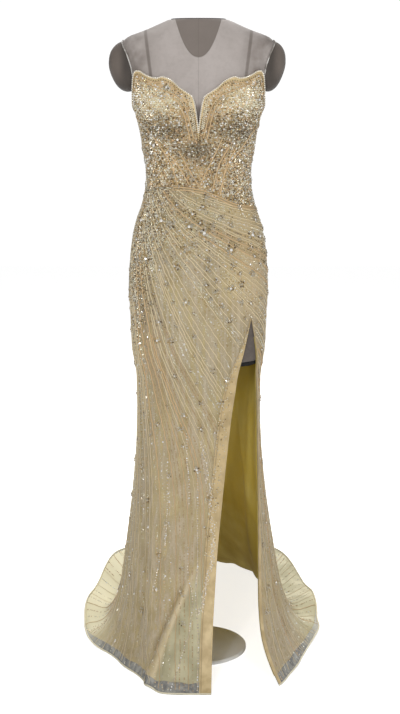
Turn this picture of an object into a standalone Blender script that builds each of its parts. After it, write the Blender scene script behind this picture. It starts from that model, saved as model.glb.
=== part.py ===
"""Strapless evening gown with a slit and a small train, on a limbless dress form with its stand.

Metres, +Z up, +X to the viewer's right, -Y towards the viewer. The origin is on the floor, on the
axis of the stand's pole. Every cloth piece is a wall made from points of one surface, the figure
above the knee and the flared skirt below it, moved out along the surface's own normal.
"""

import math
from bisect import bisect_right

import bmesh
import bpy
from mathutils import Vector

for old in list(bpy.data.objects):
    bpy.data.objects.remove(old, do_unlink=True)


class Table:
    """A short table with named columns, read by a smooth curve that never overshoots its rows."""

    def __init__(self, names, rows):
        self.columns = dict(zip(names, zip(*rows)))
        self.keys = self.columns[names[0]]

    def slope(self, values, i):
        """The curve's slope at row i: level at a peak, else a mean of the slopes on both sides."""
        last = len(self.keys) - 1
        if i in (0, last):
            j = min(i, last - 1)
            return (values[j + 1] - values[j]) / (self.keys[j + 1] - self.keys[j])
        before, after = self.keys[i] - self.keys[i - 1], self.keys[i + 1] - self.keys[i]
        left = (values[i] - values[i - 1]) / before
        right = (values[i + 1] - values[i]) / after
        if left * right <= 0:
            return 0.0
        weight_left, weight_right = before / 2 + after, before + after / 2
        return 1.5 * (before + after) / (weight_left / left + weight_right / right)

    def at(self, name, key):
        values = self.columns[name]
        if key <= self.keys[0]:
            return values[0]
        if key >= self.keys[-1]:
            return values[-1]
        i = bisect_right(self.keys, key) - 1
        step = self.keys[i + 1] - self.keys[i]
        t = (key - self.keys[i]) / step
        start, end = self.slope(values, i) * step, self.slope(values, i + 1) * step
        rise = values[i + 1] - values[i]
        return values[i] + t * start + t * t * (3 * rise - 2 * start - end) + t ** 3 * (start + end - 2 * rise)


# Driving sizes
SEAM_GAP = 0.0004
WAIST_GAP = 0.0009
TULLE_IN, TULLE_OUT = 0.0013, 0.0029
LINING_IN, LINING_OUT = 0.0, 0.0010
TRIM_IN, TRIM_OUT = 0.0033, 0.0043
BINDING_IN, BINDING_OUT = 0.0037, 0.0050
FORM_OUT, FORM_UNDER_LINING = 0.0001, -0.0008
FORM_CUP_EASE = 0.004
BRIDGE_EASE, BRIDGE_WIDE, BRIDGE_TALL = 0.004, 0.022, 0.075
FLOOR_LIFT = 0.0003
ROUNDNESS = 2 / 2.2
KNEE = 0.602
SIDE_SEAM = 92.0
FRONT_SEAM = 48.0
SLIT_TOP = 0.82
LINING_TOP = 0.775
LINING_END = 0.018
SLIT_BAND = 0.028
SLIT_EDGE = 0.013

# The figure at each height: half its width, and how far it reaches in front of and behind the pole
BODY = Table(
    ("z", "half", "front", "back"),
    (
        (0.602, 0.1404, 0.108, 0.102),
        (0.674, 0.1410, 0.106, 0.100),
        (0.745, 0.1509, 0.104, 0.106),
        (0.816, 0.1537, 0.103, 0.116),
        (0.886, 0.1565, 0.101, 0.126),
        (0.956, 0.1524, 0.099, 0.124),
        (1.025, 0.1414, 0.095, 0.108),
        (1.059, 0.1297, 0.089, 0.095),
        (1.093, 0.1202, 0.083, 0.084),
        (1.127, 0.1154, 0.078, 0.075),
        (1.161, 0.1163, 0.079, 0.075),
        (1.195, 0.1229, 0.085, 0.079),
        (1.228, 0.1271, 0.091, 0.085),
        (1.262, 0.1348, 0.094, 0.090),
        (1.295, 0.1435, 0.094, 0.093),
        (1.330, 0.1480, 0.088, 0.096),
        (1.360, 0.1530, 0.080, 0.096),
        (1.400, 0.1640, 0.068, 0.092),
        (1.430, 0.1700, 0.058, 0.084),
        (1.442, 0.1600, 0.053, 0.079),
        (1.460, 0.1150, 0.047, 0.070),
        (1.481, 0.0670, 0.042, 0.060),
    ),
)
CUP_X, CUP_Z, CUP_DEPTH = 0.076, 1.264, 0.030
CUP_WIDE, CUP_TALL = 0.046, 0.054

# The hem's outline on the floor: direction from the pole, then its place
HEM_LEFT = Table(
    ("degrees", "x", "y"),
    (
        (0, 0.000, -0.271),
        (15, -0.042, -0.271),
        (30, -0.080, -0.266),
        (45, -0.107, -0.236),
        (58, -0.134, -0.178),
        (70, -0.168, -0.125),
        (82, -0.205, -0.060),
        (95, -0.252, 0.010),
        (110, -0.288, 0.140),
        (125, -0.290, 0.290),
        (140, -0.272, 0.470),
        (155, -0.228, 0.660),
        (168, -0.135, 0.850),
        (175, -0.060, 0.915),
        (180, 0.000, 0.925),
    ),
)
HEM_RIGHT = Table(
    ("degrees", "x", "y"),
    (
        (0, 0.000, -0.271),
        (15, 0.042, -0.271),
        (30, 0.092, -0.266),
        (45, 0.146, -0.252),
        (56, 0.182, -0.225),
        (68, 0.212, -0.160),
        (80, 0.241, -0.082),
        (95, 0.275, 0.030),
        (110, 0.302, 0.150),
        (125, 0.304, 0.280),
        (140, 0.286, 0.450),
        (155, 0.236, 0.640),
        (168, 0.138, 0.845),
        (175, 0.062, 0.914),
        (180, 0.000, 0.925),
    ),
)

# Below the knee: how far along from knee to hem the cloth is, where it hangs and in the train
FLARE = Table(
    ("level", "hang_share", "train_z", "train_share"),
    (
        (0.000, 1.000, 0.000, 1.000),
        (0.018, 0.850, 0.000, 0.965),
        (0.040, 0.730, 0.002, 0.800),
        (0.075, 0.590, 0.012, 0.640),
        (0.120, 0.472, 0.046, 0.490),
        (0.170, 0.366, 0.102, 0.365),
        (0.225, 0.295, 0.172, 0.270),
        (0.290, 0.225, 0.252, 0.190),
        (0.360, 0.152, 0.335, 0.120),
        (0.440, 0.083, 0.425, 0.065),
        (0.520, 0.030, 0.512, 0.025),
        (0.602, 0.000, 0.602, 0.000),
    ),
)
TRAIN_STARTS, TRAIN_WHOLE = 78, 128

# The largest folds, raised out of the skirt: direction, width and height at the hem
FOLDS = (
    (-150, 9, 0.030),
    (-122, 9, 0.026),
    (-96, 8, 0.018),
    (-70, 8, 0.010),
    (-46, 6, 0.015),
    (-14, 9, 0.006),
    (74, 8, 0.010),
    (100, 9, 0.020),
    (126, 9, 0.028),
    (153, 9, 0.026),
    (180, 7, 0.016),
)
FOLD_REST = 0.005

SLIT = Table(
    ("z", "left", "right"),
    (
        (0.00, 10.5, 56.0),
        (0.10, 11.5, 52.0),
        (0.20, 13.5, 55.0),
        (0.30, 16.0, 59.0),
        (0.40, 20.0, 64.0),
        (0.50, 24.5, 68.0),
        (0.602, 30.0, 70.0),
        (0.65, 33.5, 68.0),
        (0.717, 38.0, 62.0),
        (0.76, 42.0, 56.0),
        (0.82, 48.0, 48.0),
    ),
)

# Heights of the waist seam round the figure, from centre back to centre back
WAIST = Table(
    ("degrees", "z"),
    (
        (-180, 1.085),
        (-120, 1.098),
        (-70, 1.112),
        (-18, 1.114),
        (-3, 1.111),
        (16, 1.097),
        (40, 1.076),
        (85, 1.066),
        (120, 1.068),
        (180, 1.085),
    ),
)

# The seam under each cup, which ends at the side seam
CUP_SEAM = Table(
    ("degrees", "left", "right"),
    (
        (19.5, 1.114, 1.094),
        (24.0, 1.142, 1.124),
        (29.0, 1.172, 1.155),
        (39.0, 1.207, 1.187),
        (54.0, 1.241, 1.219),
        (69.0, 1.262, 1.244),
        (92.0, 1.275, 1.262),
    ),
)

# The scalloped top edge: the notch, two scallops, the peak by the arm, then down to the back
TOP_EDGE = Table(
    ("degrees", "z"),
    (
        (0.0, 1.2345),
        (3.0, 1.300),
        (4.3, 1.311),
        (9.0, 1.321),
        (14.0, 1.330),
        (19.5, 1.344),
        (24.0, 1.351),
        (29.0, 1.3545),
        (34.0, 1.3520),
        (39.0, 1.3535),
        (44.0, 1.3575),
        (49.0, 1.363),
        (54.0, 1.369),
        (59.0, 1.370),
        (64.0, 1.364),
        (69.0, 1.351),
        (75.0, 1.327),
        (82.0, 1.303),
        (92.0, 1.291),
        (120.0, 1.265),
        (150.0, 1.252),
        (180.0, 1.247),
    ),
)

BODICE_COLUMNS = (0, 3, 4.3, 6.5, 9, 14, 19.5, 24, 29, 34, 39, 44, 49, 54, 59, 64, 69, 75, 82, 92)
FRONT_ROWS, SIDE_ROWS, BACK_ROWS = 11, 7, 7
BACK_SIDES = 12
SKIRT_LEVELS = (1.045, 1.0, 0.955, 0.91, 0.865, 0.82, 0.775, 0.73, 0.685, 0.64)
FLARE_LEVELS = (0.602, 0.52, 0.44, 0.36, 0.29, 0.225, 0.17, 0.12, 0.075, 0.04, 0.018, 0.0)

COLOURS = {
    "tulle": ((0.50, 0.40, 0.28), 0.6),
    "bodice": ((0.40, 0.31, 0.21), 0.55),
    "lining": ((0.36, 0.33, 0.17), 0.7),
    "trim": ((0.62, 0.47, 0.33), 0.5),
    "form": ((0.40, 0.36, 0.33), 0.85),
    "cap": ((0.12, 0.10, 0.09), 0.8),
    "rim": ((0.02, 0.02, 0.02), 0.5),
    "stand": ((0.80, 0.80, 0.79), 0.35),
    "zip": ((0.55, 0.47, 0.37), 0.4),
    "puller": ((0.60, 0.57, 0.50), 0.3),
}
METAL = {"stand": 0.6, "puller": 1.0}


def smoothstep(low, high, value):
    t = min(1.0, max(0.0, (value - low) / (high - low)))
    return t * t * (3 - 2 * t)


def mix(start, end, share):
    return start + (end - start) * share


def figure(degrees, z, cup_depth=CUP_DEPTH):
    """A point of the figure's surface, in the given direction and at the given height."""
    turn = math.radians(degrees)
    across, along = math.sin(turn), math.cos(turn)
    x = BODY.at("half", z) * math.copysign(abs(across) ** ROUNDNESS, across)
    reach = BODY.at("front", z) if along > 0 else BODY.at("back", z)
    y = -reach * math.copysign(abs(along) ** ROUNDNESS, along)
    if along > 0:
        off_x, off_z = (abs(x) - CUP_X) / CUP_WIDE, (z - CUP_Z) / CUP_TALL
        y -= along * cup_depth * math.exp(-off_x * off_x - off_z * off_z)
    return Vector((x, y, z))


def train_share(degrees):
    return smoothstep(TRAIN_STARTS, TRAIN_WHOLE, abs(degrees))


def flared(degrees, level):
    """A point of the skirt below the knee, before its folds."""
    knee = figure(degrees, KNEE)
    hem = HEM_RIGHT if degrees >= 0 else HEM_LEFT
    turn = abs(degrees)
    train = train_share(degrees)
    out = mix(FLARE.at("hang_share", level), FLARE.at("train_share", level), train)
    z = mix(level, FLARE.at("train_z", level), train)
    return Vector((mix(knee.x, hem.at("x", turn), out), mix(knee.y, hem.at("y", turn), out), FLOOR_LIFT + z))


def smooth_surface(degrees, level):
    return figure(degrees, level) if level >= KNEE else flared(degrees, level)


def normal_of(surface, degrees, level):
    """Outward normal, from two small steps on the surface."""
    turn, fall = 0.4, 0.002
    side = surface(degrees + turn, level) - surface(degrees - turn, level)
    low = max(0.0, level - fall)
    up = surface(degrees, level + fall) - surface(degrees, low)
    return side.cross(up).normalized()


def fold_height(degrees, level):
    if level >= KNEE:
        return 0.0
    total = 0.0
    for centre, width, height in FOLDS:
        off = (degrees - centre + 180) % 360 - 180
        total += height * math.exp(-((off / width) ** 2))
    grown = FLARE.at("hang_share", level)
    return max(0.0, total - FOLD_REST) * grown * (1.6 - 0.6 * grown)


def surface(degrees, level):
    """The gown's surface: the figure, the flare below the knee, and the folds raised from it."""
    point = smooth_surface(degrees, level)
    height = fold_height(degrees, level)
    if height > 0:
        point += normal_of(smooth_surface, degrees, level) * height
    if level < LINING_END:
        point.z -= (FLOOR_LIFT + TULLE_IN) * (1 - level / LINING_END)
    return point


def add_object(name, mesh, colour, smooth=True):
    material = bpy.data.materials.get(colour) or bpy.data.materials.new(colour)
    base, rough = COLOURS[colour]
    material.use_nodes = True
    shader = material.node_tree.nodes["Principled BSDF"]
    shader.inputs["Base Color"].default_value = (*base, 1)
    shader.inputs["Roughness"].default_value = rough
    shader.inputs["Metallic"].default_value = METAL.get(colour, 0.0)
    mesh.materials.append(material)
    if smooth:
        mesh.shade_smooth()
        mesh.set_sharp_from_angle(angle=math.radians(40))
    item = bpy.data.objects.new(name, mesh)
    bpy.context.scene.collection.objects.link(item)
    return item


def wall(name, places, inner, outer, colour):
    """A closed wall over a grid of (direction, level) places, rows from top to bottom.

    inner and outer are how far its faces lie out from the gown's surface.
    """
    work = bmesh.new()
    sides = []
    for offset in (outer, inner):
        grid = []
        for row in places:
            line = []
            for degrees, level in row:
                point = surface(degrees, level) + normal_of(surface, degrees, level) * offset
                point.z = max(point.z, offset - TULLE_IN)
                line.append(work.verts.new(point))
            grid.append(line)
        sides.append(grid)
    out, back = sides
    rows, columns = len(out), len(out[0])

    def two_triangles(a, b, c, d):
        work.faces.new((a, b, c))
        work.faces.new((a, c, d))

    for i in range(rows - 1):
        for j in range(columns - 1):
            two_triangles(out[i][j], out[i + 1][j], out[i + 1][j + 1], out[i][j + 1])
            two_triangles(back[i][j], back[i][j + 1], back[i + 1][j + 1], back[i + 1][j])
        two_triangles(back[i][0], back[i + 1][0], out[i + 1][0], out[i][0])
        two_triangles(out[i][-1], out[i + 1][-1], back[i + 1][-1], back[i][-1])
    for j in range(columns - 1):
        two_triangles(back[0][j], out[0][j], out[0][j + 1], back[0][j + 1])
        two_triangles(out[-1][j], back[-1][j], back[-1][j + 1], out[-1][j + 1])
    mesh = bpy.data.meshes.new(name)
    work.to_mesh(mesh)
    work.free()
    return add_object(name, mesh, colour)


def degrees_across(width, degrees, level):
    """The turn that covers a width in metres at one place of the surface."""
    step = 0.5
    return width * step / (surface(degrees + step, level) - surface(degrees, level)).length


def half_gap(degrees, level):
    return degrees_across(SEAM_GAP / 2, degrees, level)


# Skirt panels


def slit_edge(side, level):
    """The panel's edge at the slit, or at the seam above it."""
    sign = -1 if side == "left" else 1
    edge = SLIT.at(side, level) if level < SLIT_TOP else FRONT_SEAM
    return edge + sign * half_gap(edge, level)


def even(start, end, count):
    return [mix(start, end, i / count) for i in range(count + 1)]


def front_columns(level):
    """From the left side seam to the slit, the last stretch as wide as the slit's band."""
    start = -SIDE_SEAM + half_gap(-SIDE_SEAM, level)
    edge = slit_edge("left", level)
    band = edge - degrees_across(SLIT_BAND, edge, level)
    return even(start, band, 18)[:-1] + even(band, edge, 2)


def right_columns(level):
    """From the slit to the right side seam, the first stretch as wide as the slit's edging."""
    edge = slit_edge("right", level)
    band = edge + degrees_across(SLIT_EDGE, edge, level)
    end = SIDE_SEAM - half_gap(SIDE_SEAM, level)
    return even(edge, band, 1)[:-1] + even(band, end, 5)


def back_left_columns(level):
    gap = half_gap(-179.5, level)
    return even(-180 + gap, -SIDE_SEAM - half_gap(-SIDE_SEAM, level), BACK_SIDES)


def back_right_columns(level):
    gap = half_gap(179.5, level)
    return even(SIDE_SEAM + half_gap(SIDE_SEAM, level), 180 - gap, BACK_SIDES)


PANELS = {
    "front": front_columns,
    "right": right_columns,
    "back_left": back_left_columns,
    "back_right": back_right_columns,
}


def panel_places(columns, levels, waist=False):
    rows = []
    if waist:
        rows.append([(turn, WAIST.at("z", turn) - WAIST_GAP / 2) for turn in columns(WAIST.at("z", 0))])
    return rows + [[(turn, level) for turn in columns(level)] for level in levels]


ALL_LEVELS = SKIRT_LEVELS + FLARE_LEVELS
LINED_LEVELS = tuple(level for level in ALL_LEVELS if LINING_END <= level <= LINING_TOP)
SLIT_LEVELS = tuple(level for level in ALL_LEVELS if level < SLIT_TOP)

for panel, columns in PANELS.items():
    wall("skirt_" + panel, panel_places(columns, ALL_LEVELS, True), TULLE_IN, TULLE_OUT, "tulle")
    wall("lining_" + panel, panel_places(columns, LINED_LEVELS), LINING_IN, LINING_OUT, "lining")

wall(
    "slit_band_left",
    panel_places(lambda level: front_columns(level)[-3:], SLIT_LEVELS),
    TRIM_IN,
    TRIM_OUT,
    "trim",
)
wall(
    "slit_band_right",
    panel_places(lambda level: right_columns(level)[:2], SLIT_LEVELS),
    TRIM_IN,
    TRIM_OUT,
    "trim",
)


# Bodice


def cup_seam(degrees):
    side = "left" if degrees < 0 else "right"
    return max(CUP_SEAM.at(side, abs(degrees)), WAIST.at("z", degrees))


def steep_gap(height_at, degrees):
    """Half the seam's gap, measured upright, for a seam that climbs as it goes round."""
    step = 0.5
    rise = height_at(degrees + step) - height_at(degrees - step)
    z = height_at(degrees)
    run = (figure(degrees + step, z) - figure(degrees - step, z)).length
    return SEAM_GAP / 2 * math.hypot(1, rise / run)


def between(bottoms, tops, turns, count):
    """Rows from top to bottom between two edges, each given by a height for each direction."""
    rows = []
    for i in range(count + 1):
        share = i / count
        rows.append([(turn, mix(top, low, share)) for turn, top, low in zip(turns, tops, bottoms)])
    return rows


def bodice_front():
    last = SIDE_SEAM - half_gap(SIDE_SEAM, CUP_Z)
    half = [min(turn, last) for turn in BODICE_COLUMNS]
    turns = [-turn for turn in reversed(half[1:])] + half
    tops = [TOP_EDGE.at("z", abs(turn)) for turn in turns]
    lows = []
    for turn in turns:
        seam = cup_seam if abs(turn) > BODICE_COLUMNS[6] else lambda a: WAIST.at("z", a)
        lows.append(seam(turn) + max(WAIST_GAP / 2, steep_gap(seam, turn)))
    wall("bodice_front", between(lows, tops, turns, FRONT_ROWS), TULLE_IN, TULLE_OUT, "bodice")


def bodice_side(name, sign):
    first = BODICE_COLUMNS[6] + 1.0
    last = SIDE_SEAM - half_gap(SIDE_SEAM, CUP_Z)
    half = [first] + [min(turn, last) for turn in BODICE_COLUMNS[7:]]
    turns = sorted(sign * turn for turn in half)
    tops = [cup_seam(turn) - steep_gap(cup_seam, turn) for turn in turns]
    lows = [WAIST.at("z", turn) + WAIST_GAP / 2 for turn in turns]
    wall(name, between(lows, tops, turns, SIDE_ROWS), TULLE_IN, TULLE_OUT, "bodice")


def bodice_back(name, columns):
    turns = columns(CUP_Z)
    tops = [TOP_EDGE.at("z", abs(turn)) for turn in turns]
    lows = [WAIST.at("z", turn) + WAIST_GAP / 2 for turn in turns]
    wall(name, between(lows, tops, turns, BACK_ROWS), TULLE_IN, TULLE_OUT, "bodice")


bodice_front()
bodice_side("bodice_side_left", -1)
bodice_side("bodice_side_right", 1)
bodice_back("bodice_back_left", back_left_columns)
bodice_back("bodice_back_right", back_right_columns)

# The binding on the top edge, wider beside the notch, where the edge is steep
NOTCH_SHARE = 2 / FRONT_ROWS
BINDING = Table(
    ("degrees", "share"),
    ((0, NOTCH_SHARE), (3, NOTCH_SHARE), (4.3, NOTCH_SHARE / 2), (6.5, 0.050), (9, 0.034), (180, 0.034)),
)


def binding(name, turns):
    """As deep as a share of the bodice's height in each direction."""
    tops = [TOP_EDGE.at("z", abs(turn)) for turn in turns]
    lows = []
    for top, turn in zip(tops, turns):
        lows.append(mix(top, WAIST.at("z", turn), BINDING.at("share", abs(turn))))
    wall(name, between(lows, tops, turns, 2), BINDING_IN, BINDING_OUT, "trim")


front_half = [min(turn, SIDE_SEAM - half_gap(SIDE_SEAM, CUP_Z)) for turn in BODICE_COLUMNS]
binding("neck_binding_front", [-turn for turn in reversed(front_half[1:])] + front_half)

# Centre-back zip: its covering strip, the slider, and the pull tab that hangs from it
ZIP_TOP, ZIP_END, ZIP_HALF = 1.2395, 0.93, 0.0035
BACK_EDGE = 0.0045


def back_turns(columns):
    """The back's columns, ending where the zip's strip starts."""
    edge = 180 - degrees_across(BACK_EDGE, 179, CUP_Z)
    return [max(-edge, min(edge, turn)) for turn in columns(CUP_Z)]


binding("neck_binding_back_left", back_turns(back_left_columns))
binding("neck_binding_back_right", back_turns(back_right_columns))


def zip_strip():
    """Rows at the same heights as the rows of the back panels that it lies on."""
    bodice_rows = even(TOP_EDGE.at("z", 180), WAIST.at("z", 180), BACK_ROWS)[1:]
    skirt_rows = [level for level in SKIRT_LEVELS if level > ZIP_END]
    rows = []
    for level in [ZIP_TOP] + bodice_rows + skirt_rows + [ZIP_END]:
        reach = degrees_across(ZIP_HALF, 179, level)
        rows.append([(180 - reach, level), (180, level), (180 + reach, level)])
    wall("zip_strip", rows, TRIM_IN, TRIM_OUT, "zip")


def box(size, centre):
    work = bmesh.new()
    bmesh.ops.create_cube(work, size=1.0)
    bmesh.ops.scale(work, vec=size, verts=work.verts)
    bmesh.ops.translate(work, vec=centre, verts=work.verts)
    return work


def mesh_of(work, name):
    mesh = bpy.data.meshes.new(name)
    work.to_mesh(mesh)
    work.free()
    return mesh


def combined(item, other_mesh, operation):
    """Joins or cuts an object with a hidden helper, by an exact Boolean."""
    helper = bpy.data.objects.new(item.name + "_" + operation.lower(), other_mesh)
    helper.hide_render = True
    helper.display_type = "WIRE"
    bpy.context.scene.collection.objects.link(helper)
    change = item.modifiers.new(operation.title(), "BOOLEAN")
    change.operation = operation
    change.solver = "EXACT"
    change.object = helper


SLIDER_TOP = 1.2385
SLIDER_SIZE = (0.0064, 0.0016, 0.0110)
BAIL_WIDE, BAIL_SIDE = 0.0012, 0.0008
TAB_SIZE = (0.0046, 0.0010, 0.0220)
TAB_RIM, HOLE_WIDE, HOLE_END = 0.0009, 0.0018, 0.0030
SWING_ROOM = 0.00097


def slider_and_tab():
    """The slider's bail is a loop round the tab's top rim, and stands in the tab's hole."""
    hinge_z = SLIDER_TOP - SLIDER_SIZE[2] / 2
    cloth_y = max(surface(180, z).y for z in (SLIDER_TOP, hinge_z, SLIDER_TOP - SLIDER_SIZE[2]))
    base_y = cloth_y + TRIM_OUT + SEAM_GAP
    hinge_y = base_y + SLIDER_SIZE[1] + SWING_ROOM + 0.0001
    base = box(SLIDER_SIZE, (0, base_y + SLIDER_SIZE[1] / 2, hinge_z))
    slider = add_object("zip_slider", mesh_of(base, "zip_slider"), "puller", False)
    bail_start = base_y + SLIDER_SIZE[1] / 2
    bail_end = hinge_y + SWING_ROOM + BAIL_SIDE
    bail_tall = 2 * (SWING_ROOM + BAIL_SIDE)
    bail = box((BAIL_WIDE, bail_end - bail_start, bail_tall), (0, (bail_start + bail_end) / 2, hinge_z))
    combined(slider, mesh_of(bail, "zip_slider_bail"), "UNION")
    room = box((2 * BAIL_WIDE, 2 * SWING_ROOM, 2 * SWING_ROOM), (0, hinge_y, hinge_z))
    combined(slider, mesh_of(room, "zip_slider_room"), "DIFFERENCE")
    tab_top = hinge_z + TAB_RIM / 2
    plate = box(TAB_SIZE, (0, hinge_y, tab_top - TAB_SIZE[2] / 2))
    tab = add_object("zip_tab", mesh_of(plate, "zip_tab"), "puller", False)
    hole_tall = HOLE_END - TAB_RIM / 2
    hole_z = hinge_z - TAB_RIM / 2 - hole_tall / 2
    hole = box((HOLE_WIDE, 3 * TAB_SIZE[1], hole_tall), (0, hinge_y, hole_z))
    combined(tab, mesh_of(hole, "zip_tab_hole"), "DIFFERENCE")


zip_strip()

# Dress form
FORM_BACK_SIDES = 14
FORM_HALF = (4.3, 9, 14, 19.5, 24, 29, 34, 39, 44, 49, 56, 64, 73, 82)
FORM_BOTTOM = 0.718
FORM_LEVELS = (
    (FORM_BOTTOM, 0.73, 0.775, 0.82, 0.865, 0.91, 0.955, 1.0, 1.045, 1.085, 1.12, 1.15, 1.18, 1.21)
    + (1.235, 1.26, 1.285, 1.31, 1.335, 1.36, 1.385, 1.41, 1.43, 1.438, 1.446, 1.457, 1.469, 1.481)
)
FORM_LEFT = tuple(-turn for turn in reversed(FORM_HALF))
FORM_BACK = tuple(even(SIDE_SEAM, 360 - SIDE_SEAM, FORM_BACK_SIDES))
FORM_TURNS = FORM_LEFT + (0,) + FORM_HALF + FORM_BACK


def form_point(degrees, z, out=None):
    if out is None:
        out = mix(FORM_UNDER_LINING, FORM_OUT, smoothstep(LINING_TOP, SLIT_TOP, z))

    def shape(turn, level):
        return figure(turn, level, CUP_DEPTH - FORM_CUP_EASE)

    point = shape(degrees, z)
    if abs(degrees) < 90:
        # The cloth spans the hollow between the cups, so the form lies a little deeper there
        off_x, off_z = point.x / BRIDGE_WIDE, (z - CUP_Z) / BRIDGE_TALL
        point.y += BRIDGE_EASE * math.exp(-off_x * off_x - off_z * off_z)
    return point + normal_of(shape, degrees, z) * out


def stacked(name, rings, colour):
    """A closed solid through level rings, each with as many points, from bottom to top."""
    work = bmesh.new()
    loops = [[work.verts.new(point) for point in ring] for ring in rings]
    count = len(loops[0])
    for low, high in zip(loops, loops[1:]):
        for j in range(count):
            k = (j + 1) % count
            work.faces.new((low[j], low[k], high[k]))
            work.faces.new((low[j], high[k], high[j]))
    for loop, upward in ((loops[0], False), (loops[-1], True)):
        middle = Vector((0, 0, 0))
        for vert in loop:
            middle += vert.co / count
        centre = work.verts.new(middle)
        for j in range(count):
            a, b = loop[j], loop[(j + 1) % count]
            work.faces.new((a, b, centre) if upward else (b, a, centre))
    return add_object(name, mesh_of(work, name), colour)


def form_ring(level, inset=0.0, z=None):
    """A ring of the form at one level, drawn in a little and set at height z if that is given."""
    ring = [form_point(turn, level) for turn in FORM_TURNS]
    for point in ring:
        point.z = 0
        point -= point.normalized() * inset
        point.z = level if z is None else z
    return ring


stacked("form_torso", [form_ring(z) for z in FORM_LEVELS], "form")

RIM_TALL, RIM_INSET = 0.016, 0.004
RIM_TOP = FORM_BOTTOM - SEAM_GAP
RIM_BOTTOM = RIM_TOP - RIM_TALL
rim_rings = [
    form_ring(FORM_BOTTOM, RIM_INSET, RIM_BOTTOM),
    form_ring(FORM_BOTTOM, RIM_INSET / 2, RIM_TOP),
]
stacked("form_rim", rim_rings, "rim")

NECK_TOP = FORM_LEVELS[-1]
PLATE_TALL, PLATE_INSET = 0.0015, 0.006
plate_rings = [
    form_ring(NECK_TOP, PLATE_INSET, NECK_TOP + SEAM_GAP),
    form_ring(NECK_TOP, PLATE_INSET, NECK_TOP + SEAM_GAP + PLATE_TALL),
]
stacked("form_neck_plate", plate_rings, "cap")

# Shoulder caps: pads on the armhole's oval that bulge out and hang a little over its lower edge
CAP_TURN, CAP_Z = 92, 1.380
CAP_HALF_TURN, CAP_HALF_TALL = 22, 0.054
CAP_BULGE, CAP_EDGE, CAP_HANG = 0.037, 0.0015, 0.32
CAP_RINGS, CAP_SIDES = 4, 14
CAP_CLEAR = 0.0014


def form_cap(name, sign):
    work = bmesh.new()
    layers = []
    for outer in (True, False):
        rings = []
        for k in range(CAP_RINGS + 1):
            share = math.sin(math.pi / 2 * k / CAP_RINGS)
            ring = []
            for j in range(CAP_SIDES if k else 1):
                round_turn = 2 * math.pi * j / CAP_SIDES
                turn = sign * (CAP_TURN + CAP_HALF_TURN * share * math.cos(round_turn))
                z = CAP_Z + CAP_HALF_TALL * share * math.sin(round_turn)
                point = form_point(turn, z, FORM_OUT + CAP_CLEAR)
                if outer:
                    bulge = CAP_EDGE + CAP_BULGE * math.sqrt(max(0.0, 1 - share * share))
                    point += Vector((sign, 0, -CAP_HANG)) * bulge
                ring.append(work.verts.new(point))
            rings.append(ring)
        layers.append(rings)
    for rings in layers:
        for k in range(CAP_RINGS):
            inner, outer = rings[k], rings[k + 1]
            for j in range(CAP_SIDES):
                n = (j + 1) % CAP_SIDES
                if k == 0:
                    work.faces.new((inner[0], outer[j], outer[n]))
                else:
                    work.faces.new((inner[j], outer[j], outer[n]))
                    work.faces.new((inner[j], outer[n], inner[n]))
    for j in range(CAP_SIDES):
        n = (j + 1) % CAP_SIDES
        a, b = layers[0][-1][j], layers[0][-1][n]
        c, d = layers[1][-1][n], layers[1][-1][j]
        work.faces.new((a, b, c))
        work.faces.new((a, c, d))
    bmesh.ops.recalc_face_normals(work, faces=work.faces)
    add_object(name, mesh_of(work, name), "cap")


form_cap("form_cap_left", -1)
form_cap("form_cap_right", 1)

# Stand
POLE_RADIUS, POLE_SIDES = 0.014, 20
BASE_RADIUS, BASE_TALL, BASE_SIDES = 0.115, 0.008, 40
BASE_EDGE = 0.002


def circle(radius, z, sides):
    return [
        Vector((radius * math.cos(2 * math.pi * j / sides), radius * math.sin(2 * math.pi * j / sides), z))
        for j in range(sides)
    ]


def stand():
    rings = [
        circle(BASE_RADIUS, 0, BASE_SIDES),
        circle(BASE_RADIUS, BASE_TALL - BASE_EDGE, BASE_SIDES),
        circle(BASE_RADIUS - BASE_EDGE, BASE_TALL, BASE_SIDES),
    ]
    stacked("stand_base", rings, "stand")
    foot, head = BASE_TALL + SEAM_GAP, RIM_BOTTOM - SEAM_GAP
    stacked("stand_pole", [circle(POLE_RADIUS, z, POLE_SIDES) for z in (foot, head)], "stand")


stand()
slider_and_tab()
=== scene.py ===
import itertools
import math

import bmesh
import bpy
import numpy as np
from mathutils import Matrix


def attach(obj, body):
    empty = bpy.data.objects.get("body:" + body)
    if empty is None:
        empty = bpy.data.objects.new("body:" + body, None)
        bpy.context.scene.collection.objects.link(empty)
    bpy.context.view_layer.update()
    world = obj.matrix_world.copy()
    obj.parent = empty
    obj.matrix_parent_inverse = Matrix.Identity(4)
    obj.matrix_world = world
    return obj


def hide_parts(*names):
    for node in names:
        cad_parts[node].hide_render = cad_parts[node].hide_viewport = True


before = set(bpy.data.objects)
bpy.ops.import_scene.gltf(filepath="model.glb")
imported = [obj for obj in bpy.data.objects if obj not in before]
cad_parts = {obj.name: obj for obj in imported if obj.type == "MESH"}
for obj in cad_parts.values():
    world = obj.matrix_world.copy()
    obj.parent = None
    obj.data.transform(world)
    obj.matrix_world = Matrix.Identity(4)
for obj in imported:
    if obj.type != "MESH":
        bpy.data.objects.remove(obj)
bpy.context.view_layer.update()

# Camera, floor and studio light
# A portrait camera 3 m in front at chin height, tilted down, with a pale seamless floor. A large
# soft light stands to the left, a weaker one to the right, and small bright lamps make the beads glint.
scene = bpy.context.scene
lens = bpy.data.cameras.new("photo_camera")
lens.sensor_width = 36
lens.lens = 65.9
CAMERA_SIDE, CAMERA_AWAY, CAMERA_HEIGHT, CAMERA_TILT = 0.0034, 3.0, 1.28, 10.63
camera = bpy.data.objects.new("photo_camera", lens)
camera.location = (CAMERA_SIDE, -CAMERA_AWAY, CAMERA_HEIGHT)
camera.rotation_euler = (math.radians(90 - CAMERA_TILT), 0, 0)
scene.collection.objects.link(camera)
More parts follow.
